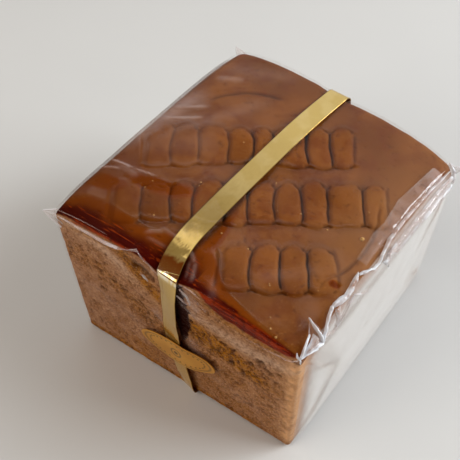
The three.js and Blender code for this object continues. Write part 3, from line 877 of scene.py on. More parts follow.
def make_crumb(look):
    """The body of the loaf below the crust: rings round the block from the crust to the base.

    The front is fine enough for its pores, which are pushed in along the way out of the block. The
    other three sides are baked skin with low swells. The front is more ochre in a patch low at the
    left, along the base, all over its right half and under the crust's foot, and a lighter tan by its
    right edge, painted light where the corner turns to the window."""
    fine = np.linspace(-1, 1, FRONT_COLUMNS, endpoint=False)
    coarse = np.linspace(-1, 1, SIDE_COLUMNS, endpoint=False)
    one_fine, one = np.ones(FRONT_COLUMNS), np.ones(SIDE_COLUMNS)
    u = np.concatenate([fine, one, -coarse, -one])
    v = np.concatenate([-one_fine, coarse, one, -coarse])
    levels = np.concatenate([[CRUMB_HIDDEN], np.linspace(CRUMB_TOP, 0, CRUMB_LEVELS)])
    points, normal, _ = block_point(u[None, :], v[None, :], levels[:, None], LOAF_INSET)
    x, _, z = np.moveaxis(points, -1, 0)
    front = smoothstep(-normal[..., 1], 0.6, 0.98)
    above_base = smoothstep(levels, 0, 0.02)[:, None]
    fade = smoothstep(CRUMB_TOP - levels, 0, 0.03)[:, None] * above_base
    depth, dark, ochre, pale = cut_face(x, z)
    covered = crust_foot(x, z)
    bare = 1 - covered
    swell = 0.16 * noise(points, 11, 6) + 0.08 * noise(points, 4, 7)
    pits = 0.5 * np.clip(noise(points, 1.5, 8) - 0.35, 0, 1)
    ragged = 0.1 * noise(points, 0.9, 9) + 0.08 * noise(points, 2.0, 10)
    push = front * (ragged - depth * bare) * fade + (1 - front) * (swell - pits) * fade
    points = points + normal * push[..., None]
    points[0] = block_point(u, v, CRUMB_HIDDEN, -0.9)[0]
    base_ring = clear_of_ribbon(block_point(CLOSING * u, CLOSING * v, 0.0, LOAF_INSET)[0], LOAF_CLEAR)
    points = clear_of_ribbon(points, LOAF_CLEAR)
    centres = np.array([[0.0, 0.0, LOAF_CLEAR + 0.4], [0.0, 0.0, CRUMB_UPPER_SIDE]])
    rows = len(levels) + 1
    ring = np.arange(len(u))
    body = np.concatenate([points, base_ring[None]])
    all_points = np.concatenate([body.reshape(-1, 3), centres])
    faces = grid_faces(rows, len(u), wrap_columns=True, flip=True)
    faces += fan((rows - 1) * len(u) + ring, rows * len(u))
    faces += [triangle[::-1] for triangle in fan(ring, rows * len(u) + 1)]
    crust_line = smoothstep(z, 1.8, 0.6)
    foot = covered * front
    low_glow = 0.55 * bell(x + 20, 15, z - 11, 7)
    base_glow = smoothstep(z + noise(points, 2.6, 76), 7, 3.2) * (1 - 0.8 * smoothstep(x, 25, 52))
    warm = WARM_RIGHT * smoothstep(x, -25, 15) * (1 - pale)
    under_foot = 0.6 * crust_foot(x, z + 3.5 + 2 * smoothstep(-x, -5, 10))
    ochre = np.maximum.reduce([ochre, low_glow, base_glow, warm, under_foot])
    corner = bell(points[..., 1] + HALF_Y, 10) * smoothstep(x, 48, 54)
    crust = np.maximum.reduce([(1 - front) * (1 - corner), 0.7 * crust_line, foot])
    # painted light: a lighter tan by the right edge, where the corner turns to the window
    tan = bell(np.clip(55.5 - x, 0, None), 5.5) * np.maximum(front, corner)
    tan = np.clip(tan * (1 + 0.7 * noise(points, 1.6, 75)), 0, 1) * smoothstep(z, 2, 8)
    crumb = np.maximum(front, corner)
    marks = {
        "crust": crust,
        # painted shade: the pores and the gap by the ribbon on the cut face, the pits on the baked sides
        "deep": np.where(crumb > 0.5, dark * bare * crumb * above_base, 0.4 * pits),
        "ochre": ochre * crumb,
        "pale": pale * crumb,
        "edge": np.maximum(0.5 * foot, tan),
        "foot": foot,
    }
    for name, numbers in marks.items():  # the base's ring is marked as the lowest one, the centres are not
        marks[name] = np.concatenate([numbers.ravel(), numbers[-1].ravel(), [0, 0]])
    return mesh_piece("cut_crumb", all_points, faces, look, marks)


# ---------------------------------------------------------------- the film

FILM_OUT = 0.35  # how far out of the solid the film lies
FILM_CLEAR = 0.75  # height of the film's underside over the ribbon
SLEEVE_COLUMNS = 220
SLEEVE_FRONT = 130
SLEEVE_TOP = 220
SLEEVE_BACK = 36
SLEEVE_BASE = 30
END_COLUMNS = 90
END_ROWS = 70
FLAP_STEPS = 44

FILM_LIFT = (  # x, and how far the film stands off the crust where it starts to slope to the front edge
    (-55, 0.3), (-48, 1.4), (-30, 2.2), (-14, 2.2), (-8, 1.2), (-3, 0.5), (2, 0.5), (7, 1.5),
    (16, 1.6), (30, 0.8), (55, 0.1),
)

# The creases' whiteness is a painted sheen on the film.
CREASES = (  # from (x, s) to (x, s), height, half width, how white; s is how far behind the front edge
    ((-51, 63), (-39.5, 73.5), 0.5, 1.2, 0.26),
    ((-52, 62), (-40, 75), 0.3, 3.0, 0.13),
    ((-52.5, 55), (-36.4, 67.5), 0.45, 1.1, 0.28),
    ((-53, 53), (-36, 68), 0.3, 2.6, 0.14),
    ((-48, 88), (-38, 95), 0.3, 1.8, 0.14),
    ((-50, 42), (-22, 60), 0.2, 8.0, 0.06),
    ((-51.8, 29.5), (-41.4, 30.6), 0.4, 0.55, 0.32),
    ((-41.4, 30.6), (-32.3, 32.7), 0.3, 0.4, 0.26),
    ((-47, 29.4), (-37, 28.2), 0.2, 1.6, 0.1),
    ((-53.1, 24.1), (-45, 27.9), 0.35, 0.55, 0.22),
    ((-52, 44), (-46, 52), 0.3, 1.8, 0.14),
    ((-54, 36), (-46, 80), 0.4, 4.6, 0.22),
    ((-46, 42), (-30, 76), 0.3, 3.0, 0.08),
    ((-40, 52), (-22, 92), 0.3, 3.4, 0.06),
    ((-50, 96), (-20, 108), 0.3, 4.0, 0.06),
    ((0.3, 12.5), (4.4, 9.4), 0.3, 0.7, 0.16),
    ((4.3, 10.0), (8.0, 2.6), 0.35, 0.8, 0.16),
    ((2.2, 9.5), (5.4, 3.0), 0.3, 0.6, 0.1),
    ((-17.5, 9), (-12, 13.6), 0.3, 0.7, 0.14),
    ((-14, 13.8), (-6.5, 14.2), 0.3, 0.7, 0.12),
    ((-16, 8), (-8, 9), 0.2, 0.6, 0.08),
    ((13, 7.5), (19, 0.5), 0.2, 1.4, 0.07),
    ((24, 14), (44, 34), 0.25, 3.0, 0.04),
    ((6, -1.5), (13, -12), 0.3, 2.2, 0.2),
    ((3, -10), (14, -17), 0.5, 1.6, 0.1),
    ((-50, -8), (-44, -52), 0.4, 5.0, 0.03),
    ((-34, -30), (-28, -66), 0.3, 5.0, 0.02),
    ((6, -33), (12, -47), 0.2, 3.4, 0.16),
    ((-11, -27), (-4, -34), 0.2, 2.4, 0.12),
    ((-52, -34), (-12, -48), 0.2, 3.6, 0.06),
    ((12, -52), (46, -60), 0.2, 3.6, 0.05),
)
FRONT_RUN = ((4, 3), (18, 1.5), (38, -2.1), (62, -2.4), (83, -2.2))  # z, and x of the ribbon's middle


def film_slope(x, s):
    """How far the film stands off the block where it slopes down to the front edge, in mm. It rises
    steadily from the edge and sinks back slowly behind the slope."""
    width = through(x, WET_SHADED_EDGE)
    rise = np.clip(s / width, 0, 1)
    fall = np.clip((s - width) / 26, 0, 1)
    share = np.where(s < width, rise, (1 - fall) ** 2 * (1 + 2 * fall))
    return share * through(x, FILM_LIFT) * (s > 0)


def stand_off(u, v, w):
    """How far the film stands off the block's back and left top edges, in mm: bell-shaped."""
    down = (1 - w) * CORNER_HEIGHT
    from_back = np.hypot((1 - v) * HALF_Y, down)
    from_left = np.hypot((1 + u) * HALF_X, down)
    return 0.4 * bell(np.minimum(from_back, from_left), 4)


def crease(x, s, start, end, half_width):
    """A bell-shaped stripe along the line from start to end, fading at both ends, from 0 to 1."""
    (x0, s0), (x1, s1) = start, end
    length = math.hypot(x1 - x0, s1 - s0)
    along = ((x - x0) * (x1 - x0) + (s - s0) * (s1 - s0)) / length**2
    away = ((x - x0) * (s1 - s0) - (s - s0) * (x1 - x0)) / length
    fade = smoothstep(along, -0.1, 0.25) * smoothstep(-along, -1.1, -0.75)
    return fade * bell(away, half_width)


def make_sleeve(look):
    """The sheet of film round the front, top, back and base, as one closed loop of rows.

    It slopes down to the front edge, is creased and rippled, and is pressed to the loaf under the
    ribbon down the front. It clings to the pads, the wet band painted dark as shade, the foot and the
    large hole's dark."""
    front = np.linspace(0, 1, SLEEVE_FRONT, endpoint=False)
    top = np.linspace(-1, 1, SLEEVE_TOP, endpoint=False)
    back = np.linspace(1, 0, SLEEVE_BACK, endpoint=False)
    base = np.linspace(1, -1, SLEEVE_BASE, endpoint=False)
    v = np.concatenate([-np.ones(SLEEVE_FRONT), top, np.ones(SLEEVE_BACK), base])[:, None]
    w = np.concatenate([front, np.ones(SLEEVE_TOP), back, np.zeros(SLEEVE_BASE)])[:, None]
    s = np.where(v <= -1, (w - 1) * CORNER_HEIGHT, (v + 1) * HALF_Y)
    u = np.linspace(-1, 1, SLEEVE_COLUMNS)[None, :]
    x = u * HALF_X + 0 * s
    way = s + 0 * x
    pressed = bell(x - through(w * CORNER_HEIGHT, FRONT_RUN), 6) * (v <= -1)
    points, normal, _ = block_point(u, v, w, (FILM_OUT + stand_off(u, v, w)) * (1 - 0.75 * pressed), True)
    shown = (v <= -1) | (w >= 1)
    held = smoothstep(1 - np.abs(u), 0, 0.06)
    lift = film_slope(x, way) * held
    # painted sheen: the creases whiter
    white = 0.0
    for start, end, height, half_width, whiteness in CREASES:
        stripe = crease(x, way, start, end, half_width)
        lift = lift + height * stripe
        white = np.maximum(white, whiteness * stripe)
    ripple = 0.16 * noise(points, (8, 18, 9), 21) + 0.05 * noise(points, 3.5, 22)
    points = points + normal * ((lift + ripple * held) * shown * (1 - pressed))[..., None]
    points[..., 2] = np.maximum(points[..., 2], 0.05)
    points = clear_of_ribbon(points, FILM_CLEAR)
    faces = grid_faces(len(v), SLEEVE_COLUMNS, wrap_rows=True)
    touched = 0.6 * relief(x, way - HALF_Y)[0]
    touched = np.maximum(touched, smoothstep(wet_shaded(x, way - HALF_Y), 0.25, 0.5))
    over_foot = 0.96 * crust_foot(x, points[..., 2])
    flat_cling = smoothstep(-way, 0.3, 3) * (0.85 + 0.3 * ribbon_gap(x, -way))
    over_hole = 1.04 * bell(x + 14, 7, way + 5, 5)
    cling = np.where(v <= -1, np.maximum.reduce([flat_cling, over_foot, over_hole]), touched * (w >= 1))
    marks = {"gathered_sheen": white * shown, "clinging": cling * smoothstep(0.14 - white, 0, 0.12)}
    return mesh_piece("film_sleeve", points, faces, look, marks)


def make_end_skin(name, side, look):
    """The film straight over an end face, joined to the sleeve's edge, with slight puckers. It clings
    along the front and back edges and is painted whiter between, a painted reflection of the floor."""
    v = np.linspace(-1, 1, END_COLUMNS)[None, :]
    w = np.linspace(0, 1, END_ROWS)[:, None]
    points, normal, _ = block_point(float(side), v, w, FILM_OUT + stand_off(float(side), v, w), True)
    inner = smoothstep(1 - np.abs(v), 0, 0.2) * smoothstep(0.5 - np.abs(w - 0.5), 0, 0.1)
    pucker = 0.15 * (1 + noise(points, (9, 7, 14), 31)) * inner
    points = points + normal * pucker[..., None]
    faces = grid_faces(END_ROWS, END_COLUMNS, flip=side < 0)
    # painted reflection of the floor: whiter away from the front and back edges
    away = smoothstep((1 - np.abs(v)) * HALF_Y + 0 * w, 2, 15)
    marks = {"gathered_sheen": 0.04 + 0.24 * away, "clinging": 1 - away}
    return mesh_piece(name, points, faces, look, marks)


# An end's folded flaps, at the front, back, base and top: outlines of four corners (y, z, how far proud
# of the end face), as the solids have them. The front and back flaps end in a point.
FLAP_FRONT = 3 - HALF_Y
FLAP_BACK = HALF_Y - 4
FLAP_LOW = 2.5
FLAP_HIGH = CORNER_HEIGHT - 4
FLAP_REACH = 27
FLAP_MIDDLE = CORNER_HEIGHT / 2 - 3
FLAPS = (
    ((FLAP_FRONT, FLAP_LOW, 0.5), (FLAP_FRONT + FLAP_REACH, FLAP_MIDDLE, 1.6),
     (FLAP_FRONT + FLAP_REACH, FLAP_MIDDLE, 1.6), (FLAP_FRONT, FLAP_HIGH, 0.5)),
    ((FLAP_BACK - FLAP_REACH, FLAP_MIDDLE, 1.6), (FLAP_BACK, FLAP_LOW, 0.5),
     (FLAP_BACK, FLAP_HIGH, 0.5), (FLAP_BACK - FLAP_REACH, FLAP_MIDDLE, 1.6)),
    ((FLAP_FRONT + 2, FLAP_LOW, 0.6), (FLAP_BACK - 2, FLAP_LOW, 0.6),
     (FLAP_BACK - FLAP_REACH + 3, 44, 2.3), (FLAP_FRONT + FLAP_REACH - 3, 44, 2.3)),
    ((FLAP_FRONT + FLAP_REACH, 27, 3.1), (FLAP_BACK - FLAP_REACH, 27, 3.1),
     (FLAP_BACK - 2, FLAP_HIGH, 0.7), (FLAP_FRONT + 2, FLAP_HIGH, 0.7)),
)


def make_flaps(name, side, look):
    """The envelope fold of one end: four sheets, each a grid drawn evenly between its outline's four
    corners, lightly puckered, with a painted white sheen over it and along its rim. It is clear and
    clings near the front."""
    across = np.linspace(0, 1, FLAP_STEPS)[None, :, None]
    up = np.linspace(0, 1, FLAP_STEPS)[:, None, None]
    all_points, white, clinging, faces = [], [], [], []
    for index, outline in enumerate(FLAPS):
        low_left, low_right, high_right, high_left = np.array(outline, float)
        sheet = lerp(lerp(low_left, low_right, across), lerp(high_left, high_right, across), up)
        y, z, proud = np.moveaxis(sheet, -1, 0)
        face_x = side * HALF_X + corner_shift(side + 0 * y, y / HALF_Y, z / CORNER_HEIGHT)[..., 0]
        rim = np.minimum(np.minimum(across, 1 - across), np.minimum(up, 1 - up))[..., 0]
        puckers = 0.25 * noise(sheet, (5, 9, 30), 80 + index) * smoothstep(rim, 0, 0.12)
        x = face_x + side * (proud + puckers + 0.3)
        all_points.append(np.stack([x, y, z], -1).reshape(-1, 3))
        soft = smoothstep(rim, 0, 0.16) * smoothstep(y + HALF_Y, 4, 17)
        # painted sheen: whiter inside, away from the front, and in a thin line at the rim
        white.append((0.03 + 0.24 * soft + 0.12 * bell(rim, 0.015)).ravel())
        clinging.append((0.9 * (1 - soft)).ravel())
        faces += grid_faces(FLAP_STEPS, FLAP_STEPS, index * FLAP_STEPS**2, flip=side < 0)
    marks = {"gathered_sheen": np.concatenate(white), "clinging": np.concatenate(clinging)}
    return mesh_piece(name, np.concatenate(all_points), faces, look, marks)


# Strips of film gathered along the right and the front top edge. Each is a row of guides: how far along
# the edge (y on the right one, x on the front one), how far in over it, half width, lift and how white.
# Their whiteness is a painted sheen of the crinkled film.
RIGHT_STRANDS = (
    ((-56.6, 0.9, 0.5, 0.5, 0.9), (-53.5, 0.3, 1.0, 0.9, 0.9), (-50, -0.3, 1.7, 1.2, 0.8),
     (-47, -0.7, 3.0, 1.0, 0.75)),
    ((-57.2, -1.2, 0.4, 0.8, 0.8), (-56.4, 1.8, 0.5, 1.0, 0.9), (-55.4, 2.6, 0.2, 0.6, 0.7)),
    ((-56, 0.9, 0.35, 1.3, 1), (-48.3, 2.6, 0.35, 1.5, 1)),
    ((-56, 0.7, 0.3, 1.3, 1), (-45.3, -3.9, 0.35, 1.4, 1)),
    ((-46.9, -0.7, 3.1, 0.8, 0.3), (-42.7, 6.1, 0.1, 0.4, 0.3)),
    ((-42.7, 6.3, 0.2, 0.9, 0.7), (-44.8, 2.4, 0.45, 1.2, 0.95), (-45.3, -3.9, 0.45, 1.4, 1)),
    ((-42.7, 6.1, 0.15, 0.6, 0.4), (-48.8, 2.4, 0.25, 0.8, 0.5)),
    ((-45.4, -3.6, 0.7, 1.6, 1), (-44.4, -3.0, 0.6, 1.5, 1)),
    ((-45, -4, 0.3, 0.9, 0.8), (-43.7, -2.5, 0.5, 1.1, 0.9), (-41.2, -0.6, 0.55, 1.1, 0.9),
     (-38.7, 1.2, 0.65, 1.1, 0.85), (-34.1, 2.6, 0.6, 1.2, 0.9)),
    ((-34.3, 2.6, 0.3, 1.0, 0.9), (-33.1, 2.2, 1.0, 1.3, 0.9), (-29.5, 1.2, 1.6, 1.5, 0.85),
     (-27, 0.5, 1.3, 1.5, 0.95), (-23.4, 0.9, 1.5, 1.4, 0.9), (-19.3, 2.0, 1.1, 1.2, 0.85),
     (-16.3, 3.1, 0.15, 0.9, 0.8)),
    ((-32.6, 0.6, 1.5, 0.9, 0.6), (-34, -3.5, 0.9, 0.8, 0.5), (-35.1, -8.1, 0.12, 0.4, 0.4)),
    ((-17, 2.4, 0.5, 1.2, 0.95), (-14.5, 1.2, 0.9, 1.3, 0.9), (-12.2, -0.2, 0.5, 1.1, 0.85),
     (-9.7, -1.8, 0.35, 1.0, 0.8), (-6.6, -2.1, 0.35, 1.0, 0.8), (-3.6, -1.0, 0.4, 1.2, 0.9)),
    ((-12.2, -0.2, 0.3, 1.0, 0.7), (-8.2, -3.6, 0.25, 0.8, 0.5)),
    ((-0.3, -2.9, 3.7, 1.0, 0.85), (1.2, -8, 1.9, 0.9, 0.85), (2.5, -13, 0.1, 0.5, 0.8)),
    ((-45.3, -5.1, 0.25, 0.5, 0.6), (-42.7, -4.4, 0.25, 0.5, 0.5), (-36.1, -9.6, 0.25, 0.4, 0.5),
     (-33.1, -8.5, 0.25, 0.4, 0.5), (-30, -6.2, 0.25, 0.5, 0.5), (-27, -3.6, 0.25, 0.6, 0.5),
     (-22.9, -2.9, 0.25, 0.6, 0.5), (-12.7, -11.9, 0.25, 0.5, 0.5), (-2.5, -21.5, 0.2, 0.3, 0.5)),
    ((-12, 4.4, 2.0, 0.5, 0.12), (2, 5.2, 2.4, 0.6, 0.2), (8, 4.4, 2.4, 0.7, 0.28),
     (22, 5.6, 3.0, 0.8, 0.3), (36, 4.6, 2.8, 0.8, 0.34), (45.5, 3.9, 2.8, 0.8, 0.36)),
    ((-3.6, -0.6, 0.5, 1.2, 0.9), (3.5, 1.6, 0.9, 1.4, 0.6), (15.7, 2.0, 0.8, 1.4, 0.5),
     (24.9, 1.6, 0.7, 1.3, 0.5), (35.1, 1.6, 0.7, 1.3, 0.55), (44.7, 0.9, 0.6, 1.1, 0.65),
     (51, 0.9, 0.3, 1.0, 0.6)),
    ((0, -3.6, 0.5, 1.0, 0.7), (7.1, -4.4, 1.6, 1.1, 0.5), (22.3, -4.4, 1.7, 1.2, 0.45),
     (32.5, -4.0, 1.6, 1.2, 0.5), (43.2, -3.4, 1.3, 1.0, 0.6), (51.8, -3.2, 0.8, 0.9, 0.7)),
    ((30, -10.5, 0.4, 0.8, 0.5), (38.6, -11.5, 1.3, 1.0, 0.85), (51.8, -10.5, 1.2, 0.9, 0.85),
     (54, -9, 0.5, 0.8, 0.8)),
    ((6, -8.6, 0.25, 0.8, 0.5), (24.4, -7.6, 0.25, 0.9, 0.5), (51.3, -7.2, 0.25, 0.8, 0.6)),
    ((54.9, 3.5, 0.3, 0.8, 0.8), (54.6, -1, 0.9, 1.1, 0.9), (52.6, -6.5, 1.0, 1.0, 0.85)),
)
FRONT_STRANDS = (
    ((-55.1, -0.2, 0.18, 0.6, 0.3), (-48.3, -0.9, 0.2, 0.7, 0.38), (-41.6, -1.5, 0.24, 0.9, 0.4),
     (-35.3, -1.6, 0.26, 1.1, 0.42), (-28.5, -1.6, 0.28, 1.4, 0.42), (-21.8, -1.0, 0.3, 1.6, 0.4),
     (-18.4, 0.4, 0.3, 2.0, 0.4), (-15, 1.8, 0.2, 2.6, 0.4)),
    ((-15, 1.8, 0.2, 2.6, 0.3), (-12.1, 1.0, 0.25, 1.8, 0.22), (-8.2, 0.6, 0.25, 1.2, 0.22),
     (-4.8, -0.2, 0.2, 0.7, 0.2)),
    ((-12.8, -6.8, 0.3, 0.5, 0.3), (-11.2, -7.8, 0.6, 0.7, 0.6), (-9.6, -8.8, 0.3, 0.6, 0.4)),
    ((5.2, -1.6, 0.2, 0.5, 0.35), (8.2, -4.2, 0.28, 0.7, 0.6), (9.4, -7.1, 0.3, 0.7, 0.6),
     (9.4, -9.0, 0.15, 0.5, 0.4)),
    ((3.4, -6.3, 0.25, 0.5, 0.4), (6.8, -8.3, 0.4, 0.6, 0.45), (9.4, -9.0, 0.3, 0.6, 0.5)),
    ((11.5, -4.2, 0.25, 0.5, 0.2), (16.5, -7.4, 0.3, 0.5, 0.25)),
    ((4.8, 0.2, 0.2, 0.5, 0.4), (9.7, -0.6, 0.22, 0.6, 0.3), (14, -2, 0.1, 0.4, 0.05)),
    ((32, -9, 0.1, 0.4, 0.05), (43, -6.8, 0.16, 0.4, 0.25), (50, -4, 0.18, 0.5, 0.35),
     (54.1, -0.4, 0.3, 0.5, 0.5)),
    ((-53.5, 1.6, 0.12, 0.6, 0.3), (-41.6, 1.5, 0.14, 0.9, 0.25), (-29.0, 1.4, 0.1, 1.0, 0.2)),
)


def strand(edge, guides, seed):
    """A strip of gathered film, in straight runs between its guides, and how white it is painted as
    sheen. Its section is a low arch, and noise crinkles it along its length."""
    along, over, half, lift, white = np.array(guides, float).T
    way = np.concatenate([[0], np.cumsum(np.hypot(np.diff(along), np.diff(over)))])
    steps = np.linspace(0, way[-1], max(10, int(way[-1] / 0.4)))
    rows = (along, over, half, lift, white)
    along, over, half, lift, white = (np.interp(steps, way, row) for row in rows)
    ahead = unit(np.stack([np.gradient(along), np.gradient(over)], -1))
    across = np.linspace(-1, 1, 9)[None, :]
    strip_along = along[:, None] - ahead[:, 1:] * half[:, None] * across
    strip_over = over[:, None] + ahead[:, :1] * half[:, None] * across
    place = flat(strip_along, strip_over)
    calm = min(1, 14 / way[-1])
    crinkle = 1 + calm * (0.3 * noise(place, 1.3, seed) + 0.15 * noise(place, 0.6, seed + 1))
    grow = FILM_OUT + 0.15 + lift[:, None] * (1 - across**4) * crinkle
    points, _ = over_edge(edge, strip_along, strip_over, grow)
    wide = smoothstep(half, 0.5, 1.2)[:, None]
    # painted sheen: whiter in patches along the strip, less in the middle of wide ones
    white = white[:, None] * np.clip(0.82 + 0.4 * noise(place, 2.6, seed + 2), 0.4, 1)
    return points, white * (1 - wide * (0.6 - 0.6 * across**2) * (0.8 + 0.4 * noise(place, 1.5, seed)))


def make_strands(look):
    """All the gathered strips as one piece."""
    parts, white, faces, first = [], [], [], 0
    for edge, strips in (("right", RIGHT_STRANDS), ("front", FRONT_STRANDS)):
        for guides in strips:
            points, whiteness = strand(edge, guides, first % 97)
            rows, columns = whiteness.shape
            faces += grid_faces(rows, columns, first)
            parts.append(points.reshape(-1, 3))
            white.append(whiteness.ravel())
            first += rows * columns
    marks = {"gathered_sheen": np.concatenate(white)}
    return mesh_piece("film_strands", np.concatenate(parts), faces, look, marks)


EAR_LENGTH = 5.0
EAR_CORNERS = ((-1, -1), (1, 1), (-1, 1))


def make_ears(look):
    """The wrap's pointed ears at three top corners: pleated sheets that narrow to a point. Each is a
    grid from its root to its tip, turned as the solids' ears are."""
    rows, columns = 26, 31
    out = np.linspace(0, 1, rows)[:, None]
    across = np.linspace(-1, 1, columns)[None, :]
    parts, white, faces = [], [], []
    for index, (u, v) in enumerate(EAR_CORNERS):
        x = lerp(-4.0, EAR_LENGTH, out) + 0.5 * np.cos(5 * across + index) * out
        y = 4.2 * across * (1 - out) ** 0.8
        z = 0.75 * np.sin(8.5 * across + 2.5 * out + index) * (0.3 + out) * (1.1 - out)
        turn = Matrix.Rotation(math.atan2(0.45 * v, u), 3, "Z")
        turn = turn @ Matrix.Rotation(-0.3, 3, "Y") @ Matrix.Rotation(0.5 * u, 3, "X")
        root = block_point(float(u), float(v), 1.0, FILM_OUT, True)[0] - np.array((0, 0, 1.0))
        parts.append((np.stack([x, y + 0 * x, z], -1) @ np.array(turn).T + root).reshape(-1, 3))
        # painted highlights: whiter along the pleats' ridges and at the sides
        ridge = np.abs(np.sin(8.5 * across + 2.5 * out + index)) ** 6
        white.append((0.22 + 0.4 * ridge + 0.35 * np.abs(across) ** 8).ravel())
        faces += grid_faces(rows, columns, index * rows * columns)
    marks = {"gathered_sheen": np.concatenate(white)}
    return mesh_piece("film_ears", np.concatenate(parts), faces, look, marks)


CRUMBS = ((45.5, -2.8, 1.0), (43.7, -55.2, 0.5), (40.5, -53.6, 0.4), (38, -50, 0.3), (33, -6.5, 0.35))
LOOSE_CRUMBS = 26


def make_crumbs(look):
    """Crumbs caught between the crust and the film: low uneven balls."""
    rows, columns = 7, 10
    tilt = np.linspace(0, math.pi, rows)[:, None]
    turn = np.linspace(0, 2 * math.pi, columns, endpoint=False)[None, :]
    ball = np.stack([np.sin(tilt) * np.cos(turn), np.sin(tilt) * np.sin(turn), np.cos(tilt) + 0 * turn], -1)
    parts, faces = [], []
    scattered = [(96 * scatter(k + 7) - 48, 96 * scatter(k + 57) - 48, 0.16 + 0.2 * scatter(k + 107))
                 for k in range(LOOSE_CRUMBS)]
    for index, (x, y, radius) in enumerate((*CRUMBS, *scattered)):
        place = block_point(x / HALF_X, y / HALF_Y, 1.0, LOAF_INSET + 0.1)[0]
        uneven = radius * (1 + 0.25 * noise(2 * ball + index, 1.0, 91))
        parts.append((ball * uneven[..., None] * np.array((1, 1, 0.7)) + place).reshape(-1, 3))
        faces += grid_faces(rows, columns, index * rows * columns, wrap_columns=True, flip=True)
    return mesh_piece("loose_crumbs", np.concatenate(parts), faces, look)


# ---------------------------------------------------------------- the ribbon

RIBBON_ROUTE = (  # guide point, length over which it turns there, how far its right edge leans out
    ((-0.9, 60.2, 84.6), 5, 0),
    ((-2.3, 32, 88), 14, 0),
    ((-4.6, -22, 88.2), 14, 0),
    ((-5.4, -43, 87.2), 5.8, 0),
    ((-3.9, -53, 85.4), 4, 1),
    ((-2.2, -58.2, 83), 2.4, 3),
    ((-2.4, -59.1, 62), 9, 14),
    ((-2.1, -58.9, 38), 9, 9),
    ((1.5, -58.9, 18), 7, 10),
    ((3, -58.0, 4.6), 2, 14),
    ((3.4, -57.4, 0.4), 2.2, 12),
    ((2.2, -40, 0.4), 8, 0),
    ((-1.1, 60.4, 0.4), 3, 0),
)
TURN_STEPS = 16
RUN_STEP = 0.8
SECTION_POINTS = 25  # on each of the ribbon's two faces


def ribbon_line():
    """The ribbon's middle line and lean: straight runs with each corner eased by a quadratic curve."""
    places = np.array([place for place, _, _ in RIBBON_ROUTE], float)
    turns = np.array([turn for _, turn, _ in RIBBON_ROUTE], float)
    leans = np.radians([lean for _, _, lean in RIBBON_ROUTE])
    before = unit(np.roll(places, 1, 0) - places)
    after = unit(np.roll(places, -1, 0) - places)
    starts = places + before * turns[:, None]
    ends = places + after * turns[:, None]
    line, lean = [], []
    for i in range(len(places)):
        k = (i + 1) % len(places)
        t = np.linspace(0, 1, TURN_STEPS)[:, None]
        line.append((1 - t) ** 2 * starts[i] + 2 * t * (1 - t) * places[i] + t * t * ends[i])
        lean.append(np.full(TURN_STEPS, leans[i]))
        steps = max(2, int(np.linalg.norm(starts[k] - ends[i]) / RUN_STEP))
        t = np.linspace(0, 1, steps + 1)[1:-1]
        line.append(ends[i] + t[:, None] * (starts[k] - ends[i]))
        lean.append(lerp(leans[i], leans[k], t))
    return np.concatenate(line), np.concatenate(lean)


def make_ribbon(look):
    """A closed flat band: its section, a thin box, carried along the line, with a little noise."""
    line, lean = ribbon_line()
    tangent = unit(np.roll(line, -1, 0) - np.roll(line, 1, 0))
    across = np.stack([np.cos(lean), -np.sin(lean), 0 * lean], -1)
    across = unit(across - tangent * np.sum(across * tangent, -1, keepdims=True))
    outward = np.cross(tangent, across)
    place = np.linspace(-1, 1, SECTION_POINTS)
    half = RIBBON_THICKNESS / 2
    section = np.concatenate([
        np.stack([place, np.full(SECTION_POINTS, half)], -1),
        np.stack([place[::-1], np.full(SECTION_POINTS, -half)], -1),
    ])
    offset = section[None, :, 0] * RIBBON_WIDTH / 2
    band = line[:, None, :] + across[:, None, :] * offset[..., None]
    near_bend = bell(line[:, 1] + 50, 12) * (line[:, 2] > 40)
    crinkle = 0.1 * noise(band, (2.6, 5, 5), 41) * near_bend[:, None]
    rise = section[None, :, 1] + crinkle + 0.03 * noise(band, (4, 16, 16), 42)
    points = band + outward[:, None, :] * rise[..., None]
    faces = grid_faces(len(line), len(section), wrap_rows=True, wrap_columns=True, flip=True)
    # painted reflection: browner down the front, where the ribbon mirrors the shaded floor
    low = smoothstep(-points[..., 1], 50, 58) * (0.12 + 0.88 * smoothstep(75 - points[..., 2], 10, 50))
    # painted shade at the two edges, dulling their highlight
    rim = 0.75 * smoothstep(np.abs(section[None, :, 0]), 0.93, 1) + 0 * rise
    # painted highlight along the crease of the bend
    crease_highlight = 0.8 * smoothstep(-points[..., 1], 55.5, 57) * smoothstep(points[..., 2], 80, 82.2)
    marks = {"bend": near_bend[:, None] + 0 * rise, "low": low, "rim": rim, "crease": crease_highlight}
    return mesh_piece("gold_ribbon", points, faces, look, marks)


# ---------------------------------------------------------------- the seal

SEAL_LEAN = math.radians(-1.5)
SEAL_TILT = math.radians(7)
SEAL_DOTS = 30
SEAL_RINGS = 48
SEAL_STEPS = 320
DOT_PLACE = 0.74  # how far out the dots lie, where 1 is the rim


